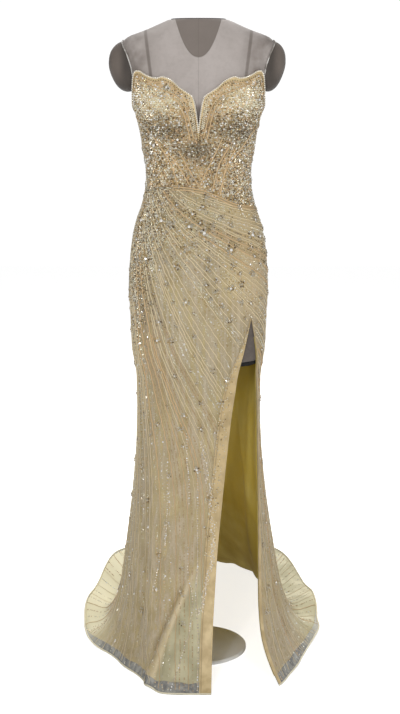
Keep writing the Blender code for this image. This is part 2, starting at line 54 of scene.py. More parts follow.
scene.camera = camera
scene.view_settings.view_transform = "Standard"


def lamp(name, place, target, size, power):
    light = bpy.data.lights.new(name, "AREA")
    light.shape = "DISK"
    light.size = size
    light.energy = power
    item = bpy.data.objects.new(name, light)
    item.location = place
    way = np.array(target, float) - np.array(place, float)
    flat = math.hypot(way[0], way[1])
    item.rotation_euler = (math.atan2(flat, -way[2]), 0, math.atan2(-way[0], way[1]))
    scene.collection.objects.link(item)


lamp("key_light", (-0.9, -3.6, 2.3), (0, 0, 0.8), 1.4, 47)
lamp("fill_light", (1.8, -3.0, 1.5), (0, 0, 0.8), 1.4, 17)
lamp("back_light", (0.6, 3.2, 2.6), (0, 0.2, 0.8), 1.8, 60)
lamp("top_light", (0.0, 0.9, 3.4), (0, 0.3, 0), 1.2, 30)
lamp("glint_left", (-0.7, -2.9, 2.2), (0, 0, 1.0), 0.07, 7)
lamp("glint_right", (1.0, -2.8, 1.4), (0, 0, 0.8), 0.07, 5)
lamp("glint_back", (-0.8, 2.8, 1.8), (0, 0, 0.8), 0.07, 6)


class Pen:
    """A socket that takes arithmetic: an expression on it adds the Math nodes to its tree."""

    def __init__(self, tree, socket):
        self.tree, self.socket = tree, socket

    def math(self, operation, *values):
        return node(self.tree, "ShaderNodeMath", {"operation": operation}, list(values))

    def __add__(self, other):
        return self.math("ADD", self, other)

    def __sub__(self, other):
        return self.math("SUBTRACT", self, other)

    def __rsub__(self, other):
        return self.math("SUBTRACT", other, self)

    def __mul__(self, other):
        return self.math("MULTIPLY", self, other)

    def __truediv__(self, other):
        return self.math("DIVIDE", self, other)

    def __pow__(self, other):
        return self.math("POWER", self, other)

    def __abs__(self):
        return self.math("ABSOLUTE", self)

    __radd__, __rmul__ = __add__, __mul__

    def clamped(self, low, high):
        """0 below low, 1 above high, and smooth between."""
        inputs = {"Value": self, "From Min": low, "From Max": high}
        return node(self.tree, "ShaderNodeMapRange", {"interpolation_type": "SMOOTHSTEP"}, inputs)

    def blend(self, first, second):
        """A colour between two, by this share of the second."""
        settings = {"data_type": "RGBA"}
        return node(self.tree, "ShaderNodeMix", settings, {0: self, 6: first, 7: second}, output=2)


def node(tree, kind, settings=None, inputs=(), output=0):
    """Adds one node, its settings first, then its sockets' values or links."""
    item = tree.nodes.new(kind)
    for key, value in (settings or {}).items():
        setattr(item, key, value)
    for key, value in inputs.items() if isinstance(inputs, dict) else enumerate(inputs):
        if isinstance(value, Pen):
            tree.links.new(value.socket, item.inputs[key])
        elif isinstance(value, tuple) and len(value) == 3 and item.inputs[key].type == "RGBA":
            item.inputs[key].default_value = (*value, 1)
        else:
            item.inputs[key].default_value = value
    return Pen(tree, item.outputs[output])


class Look:
    """A new material; its nodes read the piece's own coordinates, and join sets its shader."""

    def __init__(self, name):
        self.material = bpy.data.materials.new(name)
        self.material.use_nodes = True
        self.tree = self.material.node_tree
        self.place = self.node("TexCoord", output="Object")

    def node(self, kind, settings=None, inputs=(), output=0):
        return node(self.tree, "ShaderNode" + kind, settings, inputs, output)

    def axis(self, number):
        return self.node("SeparateXYZ", {}, [self.place], number)

    def marked(self, name, output="Fac"):
        return self.node("Attribute", {"attribute_name": name}, output=output)

    def noise(self, scale, detail=2.0, rough=0.5):
        """Clouds of one size, or stretched where the scale has three numbers."""
        place = self.place
        if isinstance(scale, tuple):
            place, scale = self.node("Mapping", {}, {"Vector": place, "Scale": scale}), 1.0
        inputs = {"Vector": place, "Scale": scale, "Detail": detail, "Roughness": rough}
        return self.node("TexNoise", {}, inputs)

    def wave(self, direction, scale):
        return self.node("TexWave", {"bands_direction": direction}, {"Vector": self.place, "Scale": scale})

    def bumped(self, height, distance, strength=1.0):
        return self.node("Bump", {}, {"Height": height, "Distance": distance, "Strength": strength})

    def join(self, **values):
        """Sets the shader's sockets: links from a Pen, constants from numbers or colours."""
        for key, value in values.items():
            socket = self.tree.nodes["Principled BSDF"].inputs[key.replace("_", " ")]
            if isinstance(value, Pen):
                self.tree.links.new(value.socket, socket)
            else:
                socket.default_value = (*value, 1) if isinstance(value, tuple) else value
        return self.material


FLOOR_HALF, FLOOR_DROP = 8, 0.0005
floor_work = bmesh.new()
bmesh.ops.create_grid(floor_work, x_segments=1, y_segments=1, size=FLOOR_HALF)
floor_mesh = bpy.data.meshes.new("floor")
floor_work.to_mesh(floor_mesh)
floor_work.free()
floor = bpy.data.objects.new("floor", floor_mesh)
floor.location.z = -FLOOR_DROP
scene.collection.objects.link(floor)
look = Look("studio_paper")
glow = look.node("LightPath", output="Is Camera Ray").blend((0.1, 0.1, 0.1), (0.75, 0.75, 0.75))
paper = look.join(
    Base_Color=(0.93, 0.93, 0.93),
    Roughness=0.9,
    Specular_IOR_Level=0.1,
    Emission_Color=glow,
    Emission_Strength=1.0,
)
floor_mesh.materials.append(paper)

world = bpy.data.worlds.new("studio")
world.use_nodes = True
scene.world = world
tree = world.node_tree
seen = node(tree, "ShaderNodeLightPath", output="Is Camera Ray")
tree.links.new((0.25 + seen * 0.79).socket, tree.nodes["Background"].inputs["Strength"])
tree.nodes["Background"].inputs["Color"].default_value = (1, 1, 1, 1)


# The gown's surface
# Every cloth piece lies on one surface, as in the part: the figure above the knee, the flared skirt
# below it with folds raised from it, and the train on the floor behind. It is kept as a fine grid of
# points and normals over the direction round the figure and the level up it.
class Table:
    """A short table with named columns, read by a smooth curve that never overshoots its rows."""

    def __init__(self, names, rows):
        self.columns = dict(zip(names, np.array(rows, float).T))
        self.keys = self.columns[names[0]]

    def at(self, name, key):
        keys, values = self.keys, self.columns[name]
        gaps = np.diff(keys)
        slopes = np.diff(values) / gaps
        tangents = np.empty_like(values)
        tangents[0], tangents[-1] = slopes[0], slopes[-1]
        left, right = slopes[:-1], slopes[1:]
        before, after = gaps[:-1], gaps[1:]
        same = left * right > 0
        safe_left, safe_right = np.where(same, left, 1), np.where(same, right, 1)
        spread = (before / 2 + after) / safe_left + (before + after / 2) / safe_right
        tangents[1:-1] = np.where(same, 1.5 * (before + after) / spread, 0)
        inside = np.clip(key, keys[0], keys[-1])
        i = np.clip(np.searchsorted(keys, inside, "right") - 1, 0, len(gaps) - 1)
        t = (inside - keys[i]) / gaps[i]
        start, end = tangents[i] * gaps[i], tangents[i + 1] * gaps[i]
        rise = values[i + 1] - values[i]
        return values[i] + t * start + t * t * (3 * rise - 2 * start - end) + t**3 * (start + end - 2 * rise)


# The tulle's two faces stand this far out; its middle is where the thin sheet lies
TULLE_IN, TULLE_OUT = 0.0013, 0.0029
TULLE_MIDDLE = (TULLE_IN + TULLE_OUT) / 2
ROUNDNESS, KNEE, FLOOR_LIFT, LEAST_LIFT, LINING_END = 2 / 2.2, 0.602, 0.0003, 0.0004, 0.018
# The figure's half width and its reach in front and behind, by height
BODY = Table(
    ("z", "half", "front", "back"),
    (
        (0.602, 0.1404, 0.108, 0.102), (0.674, 0.141, 0.106, 0.1), (0.745, 0.1509, 0.104, 0.106),
        (0.816, 0.1537, 0.103, 0.116), (0.886, 0.1565, 0.101, 0.126), (0.956, 0.1524, 0.099, 0.124),
        (1.025, 0.1414, 0.095, 0.108), (1.059, 0.1297, 0.089, 0.095), (1.093, 0.1202, 0.083, 0.084),
        (1.127, 0.1154, 0.078, 0.075), (1.161, 0.1163, 0.079, 0.075), (1.195, 0.1229, 0.085, 0.079),
        (1.228, 0.1271, 0.091, 0.085), (1.262, 0.1348, 0.094, 0.09), (1.295, 0.1435, 0.094, 0.093),
        (1.33, 0.148, 0.088, 0.096), (1.36, 0.153, 0.08, 0.096), (1.4, 0.164, 0.068, 0.092),
        (1.43, 0.17, 0.058, 0.084), (1.442, 0.16, 0.053, 0.079), (1.46, 0.115, 0.047, 0.07),
        (1.481, 0.067, 0.042, 0.06),
    ),
)
CUP_X, CUP_Z, CUP_DEPTH, CUP_WIDE, CUP_TALL = 0.076, 1.264, 0.030, 0.046, 0.054
# Where the hem lies on the floor by direction, 0 in front and 180 at the train's end, on each side
HEM_LEFT = Table(
    ("degrees", "x", "y"),
    (
        (0, 0, -0.271), (15, -0.042, -0.271), (30, -0.08, -0.266), (45, -0.107, -0.236),
        (58, -0.134, -0.178), (70, -0.168, -0.125), (82, -0.205, -0.06), (95, -0.252, 0.01),
        (110, -0.288, 0.14), (125, -0.29, 0.29), (140, -0.272, 0.47), (155, -0.228, 0.66),
        (168, -0.135, 0.85), (175, -0.06, 0.915), (180, 0, 0.925),
    ),
)
HEM_RIGHT = Table(
    ("degrees", "x", "y"),
    (
        (0, 0, -0.271), (15, 0.042, -0.271), (30, 0.092, -0.266), (45, 0.146, -0.252),
        (56, 0.182, -0.225), (68, 0.212, -0.16), (80, 0.241, -0.082), (95, 0.275, 0.03),
        (110, 0.302, 0.15), (125, 0.304, 0.28), (140, 0.286, 0.45), (155, 0.236, 0.64),
        (168, 0.138, 0.845), (175, 0.062, 0.914), (180, 0, 0.925),
    ),
)
# How much of the way from the knee to the hem the cloth has gone by each level: where it hangs, and
# in the train, where its height is given too
FLARE = Table(
    ("level", "hang_share", "train_z", "train_share"),
    (
        (0, 1, 0, 1), (0.018, 0.85, 0, 0.965), (0.04, 0.73, 0.002, 0.8), (0.075, 0.59, 0.012, 0.64),
        (0.12, 0.472, 0.046, 0.49), (0.17, 0.366, 0.102, 0.365), (0.225, 0.295, 0.172, 0.27),
        (0.29, 0.225, 0.252, 0.19), (0.36, 0.152, 0.335, 0.12), (0.44, 0.083, 0.425, 0.065),
        (0.52, 0.03, 0.512, 0.025), (0.602, 0, 0.602, 0),
    ),
)
# The large folds that rise from the flare: direction, width and height
FOLDS = (
    (-150, 9, 0.03), (-122, 9, 0.026), (-96, 8, 0.018), (-70, 8, 0.01), (-46, 6, 0.015),
    (-14, 9, 0.006), (74, 8, 0.01), (100, 9, 0.02), (126, 9, 0.028), (153, 9, 0.026), (180, 7, 0.016),
)
FOLD_REST = 0.005
# Smaller creases between the folds: direction at the floor, how far they turn in going up, width,
# height, and the levels where they end. The third and the fourth, a fold with a hollow beside it,
# slant across the front from the hem's corner.
CREASES = (
    (-168, 20, 3, 0.0045, 0.02, 0.3), (-161, -30, 2.4, -0.003, 0.06, 0.42),
    (-46, 170, 3.2, 0.0085, -0.02, 0.22), (-52, 170, 3, -0.0095, -0.02, 0.2),
    (-137, -25, 3.2, 0.005, 0.01, 0.34), (-131, 15, 2.2, -0.0032, 0.08, 0.26),
    (-111, 10, 3, 0.0046, 0.03, 0.4), (-103, -20, 2, -0.003, 0.1, 0.33),
    (-84, 35, 2.6, 0.004, 0.02, 0.28), (-70, 60, 2.2, -0.004, 0.02, 0.3),
    (-63, 80, 2.4, 0.004, 0.01, 0.26), (-33, 60, 2, -0.0036, 0, 0.17),
    (-20, 40, 2.6, 0.0036, 0.02, 0.27), (-12, 30, 1.8, -0.0026, 0.04, 0.36),
    (-2, 12, 2.2, 0.003, 0.01, 0.24), (66, -15, 2.4, 0.0034, 0.02, 0.3),
    (83, -25, 2.8, -0.0036, 0.05, 0.36), (90, -20, 2.2, 0.004, 0.01, 0.24),
    (109, 20, 3.2, 0.0048, 0.03, 0.38), (116, 25, 2.2, -0.0032, 0.09, 0.28),
    (137, -15, 3, 0.0046, 0.01, 0.31), (144, 30, 2.4, -0.0034, 0.07, 0.4),
    (163, 15, 3.2, 0.0044, 0.02, 0.35), (170, -20, 2.2, -0.0028, 0.05, 0.22),
)


def smoothstep(low, high, value):
    t = np.clip((value - low) / (high - low), 0, 1)
    return t * t * (3 - 2 * t)


def mix(start, end, share):
    return start + (end - start) * share


def bell(*offs):
    """1 where all of them are 0, and almost nothing where one is 2."""
    return np.exp(-sum(off**2 for off in offs))


def wrap(degrees):
    return (degrees + 180) % 360 - 180


def unit(vectors):
    return vectors / np.linalg.norm(vectors, axis=-1, keepdims=True)


def figure(degrees, z, cup_depth=CUP_DEPTH):
    """Points of the figure's surface, in the given directions and at the given heights."""
    turn = np.radians(degrees)
    across, along = np.sin(turn), np.cos(turn)
    x = BODY.at("half", z) * np.sign(across) * np.abs(across) ** ROUNDNESS
    reach = np.where(along > 0, BODY.at("front", z), BODY.at("back", z))
    y = -reach * np.sign(along) * np.abs(along) ** ROUNDNESS
    off_x, off_z = (np.abs(x) - CUP_X) / CUP_WIDE, (z - CUP_Z) / CUP_TALL
    y = y - np.maximum(along, 0) * cup_depth * bell(off_x, off_z)
    return np.stack([x, y, z + 0 * x], axis=-1)


def flared(degrees, level):
    """Points of the skirt below the knee, before its folds."""
    knee = figure(degrees, KNEE)
    turn = np.abs(degrees)
    train = smoothstep(78, 128, turn)
    out = mix(FLARE.at("hang_share", level), FLARE.at("train_share", level), train)
    z = mix(level, FLARE.at("train_z", level), train)
    hem = [np.where(degrees >= 0, HEM_RIGHT.at(n, turn), HEM_LEFT.at(n, turn)) for n in "xy"]
    flat = [mix(knee[..., i], hem[i], out) for i in (0, 1)]
    return np.stack([*flat, FLOOR_LIFT + z], axis=-1)


def fold_height(degrees, level):
    total = 0 * degrees
    for centre, width, height in FOLDS:
        total = total + height * bell(wrap(degrees - centre) / width)
    grown = FLARE.at("hang_share", level)
    return np.maximum(0, total - FOLD_REST) * grown * (1.6 - 0.6 * grown)


def crease_height(degrees, level):
    total = 0 * degrees
    for centre, slant, width, height, low, high in CREASES:
        off = wrap(degrees - centre - slant * level - 2 * np.sin(14 * level + centre))
        middle, half = (low + high) / 2, (high - low) / 2
        along = np.exp(-(((level - middle) / half) ** 4))
        total = total + height * along * bell(off / width)
    return total * smoothstep(0.0, 0.02, level)


def normals_of(points, levels, apart):
    """Outward normals of a grid that closes on itself round the figure."""
    wide = np.concatenate([points[:, -3:-1], points, points[:, 1:3]], axis=1)
    side = np.gradient(wide, apart, axis=1)[:, 2:-2]
    return unit(np.cross(side, np.gradient(points, levels, axis=0)))


TURN_STEP, FINE_STEP, FINE_ROWS, FINE_TOP, LEVEL_STEP = 0.5, 0.001, 60, 0.06, 0.003
turns = np.arange(-180, 180 + TURN_STEP / 2, TURN_STEP)
levels = np.concatenate([np.arange(0, FINE_TOP, FINE_STEP), np.arange(FINE_TOP, 1.4, LEVEL_STEP)])
grid_turns, grid_levels = np.meshgrid(turns, levels)
above_knee = (grid_levels >= KNEE)[..., None]
cloth = np.where(above_knee, figure(grid_turns, grid_levels), flared(grid_turns, grid_levels))
raised = np.where(grid_levels < KNEE, fold_height(grid_turns, grid_levels), 0)
raised = raised + crease_height(grid_turns, grid_levels)
cloth = cloth + normals_of(cloth, levels, TURN_STEP) * raised[..., None]
sunk = np.clip(1 - grid_levels / LINING_END, 0, 1)
cloth[..., 2] = np.maximum(cloth[..., 2] - (FLOOR_LIFT + TULLE_IN) * sunk, -TULLE_IN)
cloth_normals = normals_of(cloth, levels, TURN_STEP)


def read(grid, degrees, level):
    """Reads a grid of the gown's surface between its points."""
    column = np.clip((degrees + 180) / TURN_STEP, 0, len(turns) - 1.001)
    row = np.clip(np.interp(level, levels, np.arange(len(levels))), 0, len(levels) - 1.001)
    i, j = row.astype(int), column.astype(int)
    v, u = (row - i)[..., None], (column - j)[..., None]
    low = grid[i, j] * (1 - u) + grid[i, j + 1] * u
    high = grid[i + 1, j] * (1 - u) + grid[i + 1, j + 1] * u
    return low * (1 - v) + high * v


def normal_at(degrees, level):
    return unit(read(cloth_normals, degrees, level))


def spot(degrees, level, out):
    """Points that stand out from the gown's surface, never under the floor."""
    degrees, level = np.broadcast_arrays(np.asarray(degrees, float), np.asarray(level, float))
    point = read(cloth, degrees, level) + normal_at(degrees, level) * np.asarray(out)[..., None]
    point[..., 2] = np.maximum(point[..., 2], np.maximum(out, TULLE_IN + LEAST_LIFT) - TULLE_IN)
    return point


def turn_across(width, degrees, level):
    """The turn that covers a width in metres, at places of the surface."""
    here = read(cloth, degrees, level)
    beside = read(cloth, degrees + np.where(degrees > 179, -0.5, 0.5), level)
    return width * 0.5 / np.linalg.norm(beside - here, axis=-1)


def grid_mesh(name, wide, tall, shape, closed=False):
    """A grid from Blender's own operator, its points moved to shape(u, v), with u and v from 0 to 1.

    Returns the mesh and the u and v of its points.
    """
    work = bmesh.new()
    bmesh.ops.create_grid(work, x_segments=wide, y_segments=tall, size=0.5)
    mesh = bpy.data.meshes.new(name)
    work.to_mesh(mesh)
    flat = np.empty(len(mesh.vertices) * 3)
    mesh.vertices.foreach_get("co", flat)
    u, v = flat[0::3] + 0.5, flat[1::3] + 0.5
    mesh.vertices.foreach_set("co", shape(u, v).ravel())
    if closed:
        work.clear()
        work.from_mesh(mesh)
        bmesh.ops.remove_doubles(work, verts=work.verts, dist=0.00002)
        bmesh.ops.dissolve_degenerate(work, edges=work.edges, dist=0.00001)
        work.to_mesh(mesh)
    work.free()
    mesh.shade_smooth()
    return mesh, u, v


def piece(name, mesh, material):
    item = bpy.data.objects.new(name, mesh)
    scene.collection.objects.link(item)
    mesh.materials.append(material)
    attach(item, "gown")
    return item


def thicken(item, thickness):
    wall = item.modifiers.new("Cloth", "SOLIDIFY")
    wall.thickness = thickness
    wall.offset = 0
    # The narrow faces of the edge leave the shading of the wide ones alone
    item.modifiers.new("Shading", "WEIGHTED_NORMAL").weight = 90


def mark(mesh, name, values):
    """Keeps one number for each point, for the material to read."""
    layer = mesh.attributes.new(name, "FLOAT", "POINT")
    layer.data.foreach_set("value", np.asarray(values, np.float32))


def gone_along(points):
    """The distance walked from the first of a row of points to each of them."""
    return np.concatenate([[0], np.cumsum(np.linalg.norm(np.diff(points, axis=0), axis=1))])


LEAST_SHARE = 0.31


def lay_flat(item, u, v, held, rests_on, with_pieces=()):
    """Measures a cloth piece by its longest row, its longest column and its area, on its grid; the results
    are not used.

    The four back panels of tulle and satin measure only 0.26 to 0.28, so for them the area is raised to
    LEAST_SHARE of row times column. What is declared for them is LEAST_SHARE and not their measured area.
    """
    flat = np.empty(len(item.data.vertices) * 3)
    item.data.vertices.foreach_get("co", flat)
    rows = flat.reshape(-1, 3)[np.lexsort((u, v))].reshape(len(np.unique(np.round(v, 6))), -1, 3)
    width = float(np.linalg.norm(np.diff(rows, axis=1), axis=2).sum(axis=1).max())
    length = float(np.linalg.norm(np.diff(rows, axis=0), axis=2).sum(axis=0).max())
    area = sum(face.area for face in item.data.polygons)
    area = min(max(area, LEAST_SHARE * width * length), width * length)


# Skirt panels
# Four panels of champagne tulle hang from the waist seam, joined at the sides and the centre back.
# The front one ends at the slit. Below the lining's hem the tulle is plain and one can see through it.
SLIT_TOP, FRONT_SEAM, SIDE_SEAM = 0.82, 48.0, 92.0


def lining_end(turn):
    """The level of the lining's wavy hem: 17 mm above the floor in front, nearer the edge in the train."""
    wave = 0.0012 * np.sin(np.radians(turn) * 11) + 0.0008 * np.sin(np.radians(turn) * 23 + 1)
    return mix(0.0170, 0.0055, smoothstep(88, 112, np.where(turn > 0, turn - 14, -turn))) + wave


# The directions of the slit's two edges by their height, and the waist seam's height by direction
SLIT_BAND, SLIT_EDGE, SEAM_GAP = 0.028, 0.013, 0.0004
SLIT = Table(
    ("z", "left", "right"),
    (
        (0, 10.5, 56), (0.1, 11.5, 52), (0.2, 13.5, 55), (0.3, 16, 59), (0.4, 20, 64), (0.5, 24.5, 68),
        (0.602, 30, 70), (0.65, 33.5, 68), (0.717, 38, 62), (0.76, 42, 56), (0.82, 48, 48),
    ),
)
WAIST = Table(
    ("degrees", "z"),
    (
        (-180, 1.085), (-120, 1.098), (-70, 1.112), (-18, 1.114), (-3, 1.111), (16, 1.097),
        (40, 1.076), (85, 1.066), (120, 1.068), (180, 1.085),
    ),
)


def slit_edge(side, level):
    """An edge of the slit, or above it the seam, with half of the gap between the two panels."""
    sign = -1 if side == "left" else 1
    edge = np.where(level < SLIT_TOP, SLIT.at(side, level), FRONT_SEAM)
    return edge + sign * turn_across(SEAM_GAP / 2, edge, level) * (level < SLIT_TOP)


SKIRT_EDGES = {
    "front": (lambda z: -SIDE_SEAM, lambda z: slit_edge("left", z)),
    "right": (lambda z: slit_edge("right", z), lambda z: SIDE_SEAM),
    "back_left": (lambda z: -180, lambda z: -SIDE_SEAM - 0.1),
    "back_right": (lambda z: SIDE_SEAM + 0.1, lambda z: 180),
}
SKIRT_COLUMNS, SKIRT_ROWS = {"front": 96, "right": 40, "back_left": 72, "back_right": 72}, 110


def level_of(v, top, bottom=0.0):
    """Levels from the hem up, closer together near the floor."""
    return bottom + (top - bottom) * (0.45 * v + 0.55 * v * v)


def panel_spots(panel, u, v, rough, exact):
    """Turns and levels over a panel, from levels that are rough at first and then fit their turn."""
    start, end = SKIRT_EDGES[panel]
    level = level_of(v, *rough)
    turn = mix(start(level), end(level), u)
    level = level_of(v, *exact(turn))
    return mix(start(level), end(level), u), level


def tulle_spots(panel, u, v):
    """From the floor up to the waist seam."""
    return panel_spots(panel, u, v, (1.05, 0.0), lambda turn: (WAIST.at("z", turn) - 0.0005, 0.0))


look = Look("beaded_tulle")
train_mark, dense, pale, crest = (look.marked(name) for name in ("train", "dense", "pale", "crest"))
lined, warm = look.marked("lined"), look.marked("warm")
cells = {"Vector": look.place, "Scale": 420.0}
grain, cell = (look.node("TexVoronoi", {"feature": "F1"}, cells, output) for output in ("Distance", "Color"))
chosen, hue = (look.node("SeparateColor", {}, [cell], output) for output in (0, 1))
patch = look.noise(18.0, 4.0)
cloud = look.noise(7.0, 2.0)
streak = look.noise((130.0, 130.0, 5.0), 3.0)
wide_streak = look.noise((85.0, 85.0, 8.0), 3.0)
covered = lined.clamped(-0.0004, 0.0004)
yellow = patch.clamped(0.3, 0.7).blend((0.350, 0.272, 0.130), (0.490, 0.395, 0.200))
grey = streak.clamped(0.3, 0.7).blend((0.315, 0.255, 0.162), (0.465, 0.385, 0.262))
khaki = (cloud * 0.35 + streak * 0.65).clamped(0.40, 0.60).blend(yellow, grey)
khaki = warm.blend(khaki, (0.66, 0.515, 0.30))
creased = patch.clamped(0.35, 0.65).blend((0.42, 0.385, 0.235), (0.60, 0.555, 0.360))
khaki = pale.blend((dense * 0.85).blend(khaki, (0.21, 0.165, 0.095)), creased)
# Painted highlight: a lighter band along the crest of the slanted fold at the front's foot
khaki = crest.blend(khaki, (0.72, 0.60, 0.38))
# Painted shade: the train darkens in patches on its right side, from x 0.17 m outwards
across = look.axis(0).clamped(0.17, 0.23)
shaded_train = patch.clamped(0.4, 0.6).blend((0.56, 0.51, 0.31), (0.74, 0.68, 0.45))
train_tone = across.blend((0.84, 0.77, 0.51), shaded_train)
edge_line = (1 - (lined - 0.0016) ** 2 * 900000).clamped(0.0, 1.0) * train_mark
cloth_tone = (edge_line * 0.7).blend(train_mark.blend(khaki, train_tone), (0.40, 0.36, 0.12))
sheer = wide_streak.clamped(0.3, 0.7).blend((0.105, 0.105, 0.10), (0.40, 0.39, 0.34))
sheer_tone = covered.blend(train_mark.blend(sheer, (0.62, 0.60, 0.50)), cloth_tone)
sprinkled = (chosen + (patch - 0.5) * 0.5).clamped(0.62, 0.72) * covered * (dense * 0.7 + 0.3)
sprinkled = sprinkled * (1 - train_mark) * (1 - pale)
bead_tone = hue.clamped(0.2, 0.9).blend((0.34, 0.27, 0.16), (0.78, 0.72, 0.57))
dome = (1 - grain * 1.6).clamped(0.0, 1.0)
weave = look.noise(1400.0, 1.0)
tulle = look.join(
    Base_Color=(sprinkled * (0.4 + 0.5 * dome)).blend(sheer_tone, bead_tone),
    Roughness=0.66 - sprinkled * 0.28,
    Metallic=sprinkled * 0.25,
    Alpha=0.70 + 0.30 * covered,
    Normal=look.bumped(dome * sprinkled + weave * 0.2 + streak * 0.5, 0.0009, 0.7),
    Sheen_Weight=0.15,
)


def hip_cover(turn, level):
    """How closely beads cover the left hip, from the waist down, and the line below the waist."""
    wide = 16 + 22 * smoothstep(0.80, 1.05, level)
    hip = np.exp(-(((turn + 68) / wide) ** 4)) * smoothstep(0.70, 0.98, level)
    return np.maximum(hip, 0.35 * smoothstep(0.90, 1.05, level) * smoothstep(50, -20, turn) * (turn > -100))


def fold_off(turn, level):
    """Turns from the slanted fold at the front's foot, which starts at the hem's left corner."""
    return turn + 46 - 170 * level


TULLE_SHEET = 0.0007
skirts = {}
for panel, wide in SKIRT_COLUMNS.items():
    shape = lambda u, v: spot(*tulle_spots(panel, u, v), TULLE_MIDDLE)
    mesh, u, v = grid_mesh("tulle_" + panel, wide, SKIRT_ROWS, shape)
    turned, low = tulle_spots(panel, u, v)
    mark(mesh, "lined", low - lining_end(turned))
    mark(mesh, "train", smoothstep(84, 104, np.abs(turned)) * smoothstep(0.13, 0.05, low))
    mark(mesh, "dense", hip_cover(turned, low))
    beside, foot = fold_off(turned, low), smoothstep(0.30, 0.17, low) * (turned < 40)
    mark(mesh, "pale", smoothstep(1.0, 7.0, beside) * foot * 0.9)
    right_hip = smoothstep(8, 48, turned) * (turned < 100) * smoothstep(0.76, 0.90, low)
    below_knee = (0.12 + 0.12 * (turned > 25)) * smoothstep(0.62, 0.45, low)
    mark(mesh, "warm", np.maximum(0.55 * right_hip, below_knee))
    # Painted highlight along the slanted fold's crest, for the material to lighten
    mark(mesh, "crest", 0.75 * bell((beside - 1.5) / 1.8) * foot * (np.abs(turned) < 60))
    skirts[panel] = piece("tulle_" + panel, mesh, tulle)
    lay_flat(skirts[panel], u, v, "hung", ["form_body", "floor"])
    thicken(skirts[panel], TULLE_SHEET)
    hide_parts("skirt_" + panel)

# Lining
# Pale pistachio satin under the tulle, cut a little shorter and hung from the hip. It shows inside
# the slit and faintly through the train.
look = Look("lining_satin")
cloudy = look.noise(9.0, 3.0)
height = look.axis(2)
# Painted shade: the lining darkens towards the floor and on its right side, from x 0.114 m outwards
right_side_shade = look.axis(0).clamped(0.114, 0.132)
thread = look.noise((900.0, 900.0, 90.0))
shadowed = height.clamped(0.1, 0.45).blend((0.52, 0.375, 0.035), (0.90, 0.69, 0.12))
silky = ((cloudy * 0.8 + thread * 0.2).clamped(0.3, 0.7) * 0.8).blend(shadowed, (0.93, 0.78, 0.26))
satin = look.join(
    Base_Color=(right_side_shade * 0.4).blend(silky, (0.40, 0.29, 0.03)),
    Roughness=0.55 + cloudy * 0.1,
    Normal=look.bumped(thread, 0.0002, 0.5),
    Sheen_Weight=0.1,
)
LINING_TOP, SATIN_SHEET = 0.775, 0.0006
# Soft folds in the lining alone, pushed in towards the legs: direction, slant, width and depth
LINING_FOLDS = (
    (-172, 30, 4, 0.006), (-158, -45, 3, 0.0045), (-143, 25, 4.5, 0.0065), (-126, -20, 3.5, 0.005),
    (-110, 30, 4, 0.005), (-80, 10, 3, 0.003), (-35, 15, 3.5, 0.0035), (108, -30, 4, 0.005),
    (121, 35, 3, 0.0045), (134, -50, 4.5, 0.0065), (147, 40, 3, 0.005), (158, -60, 4, 0.007),
    (170, 35, 3.2, 0.005),
)


def lining_shape(u, v):
    """From its own hem up to the hip, with the folds pushed in between the knee and the floor."""
    rough = (LINING_TOP, LINING_END)
    turn, level = panel_spots(panel, u, v, rough, lambda turn: (LINING_TOP, lining_end(turn)))
    depth = sum(h * bell(wrap(turn - centre - slant * level) / w) for centre, slant, w, h in LINING_FOLDS)
    return spot(turn, level, 0.0005 - depth * smoothstep(0.72, 0.40, level) * smoothstep(0.02, 0.10, level))


LINING_COLUMNS, LINING_ROWS = {"front": 64, "right": 30, "back_left": 52, "back_right": 52}, 70
linings = {}
for panel, wide in LINING_COLUMNS.items():
    mesh, u, v = grid_mesh("satin_" + panel, wide, LINING_ROWS, lining_shape)
    linings[panel] = piece("satin_" + panel, mesh, satin)
    lay_flat(linings[panel], u, v, "hung", ["tulle_" + panel])
    thicken(linings[panel], SATIN_SHEET)
    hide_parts("lining_" + panel)


# Dress form
# A padded body in grey jersey without head or arms. Its cover is sewn from panels, with seams at the
# centre and from shoulder to waist, and the neck is a darker piece set in with a round seam.
FORM_BOTTOM, FORM_TOP = 0.718, 1.481
FORM_OUT, FORM_UNDER_LINING = 0.0001, -0.0008
FORM_CUP_EASE, BRIDGE_EASE, BRIDGE_WIDE, BRIDGE_TALL = 0.004, 0.004, 0.022, 0.075


def form_point(degrees, z, out=None):
    """Points of the form's cover, which lies back a little under the cups and between them."""
    if out is None:
        out = mix(FORM_UNDER_LINING, FORM_OUT, smoothstep(LINING_TOP, SLIT_TOP, z))
    cup = CUP_DEPTH - FORM_CUP_EASE
    turn = wrap(degrees)
    point = figure(turn, z, cup)
    side = figure(turn + 0.4, z, cup) - figure(turn - 0.4, z, cup)
    up = figure(turn, z + 0.002, cup) - figure(turn, z - 0.002, cup)
    between = BRIDGE_EASE * bell(point[..., 0] / BRIDGE_WIDE, (z - CUP_Z) / BRIDGE_TALL)
    point[..., 1] += np.where(np.abs(turn) < 90, between, 0)
    return point + unit(np.cross(side, up)) * np.asarray(out)[..., None]


def form_shape(u, v):
    """The wall up to v 0.94, then in over the neck's top to its middle; below v 0.04 the underside."""
    turn = u * 360 - 180
    wall = np.clip((v - 0.04) / 0.90, 0, 1)
    z = FORM_BOTTOM + (FORM_TOP - FORM_BOTTOM) * wall
    point = form_point(turn, z)
    inward = np.where(v > 0.94, (v - 0.94) / 0.06, np.where(v < 0.04, (0.04 - v) / 0.04, 0))
    point[..., :2] *= (1 - inward)[..., None]
    point[..., 2] = z
    return point


look = Look("grey_jersey")
x, y, z = abs(look.axis(0)), look.axis(1), look.axis(2)
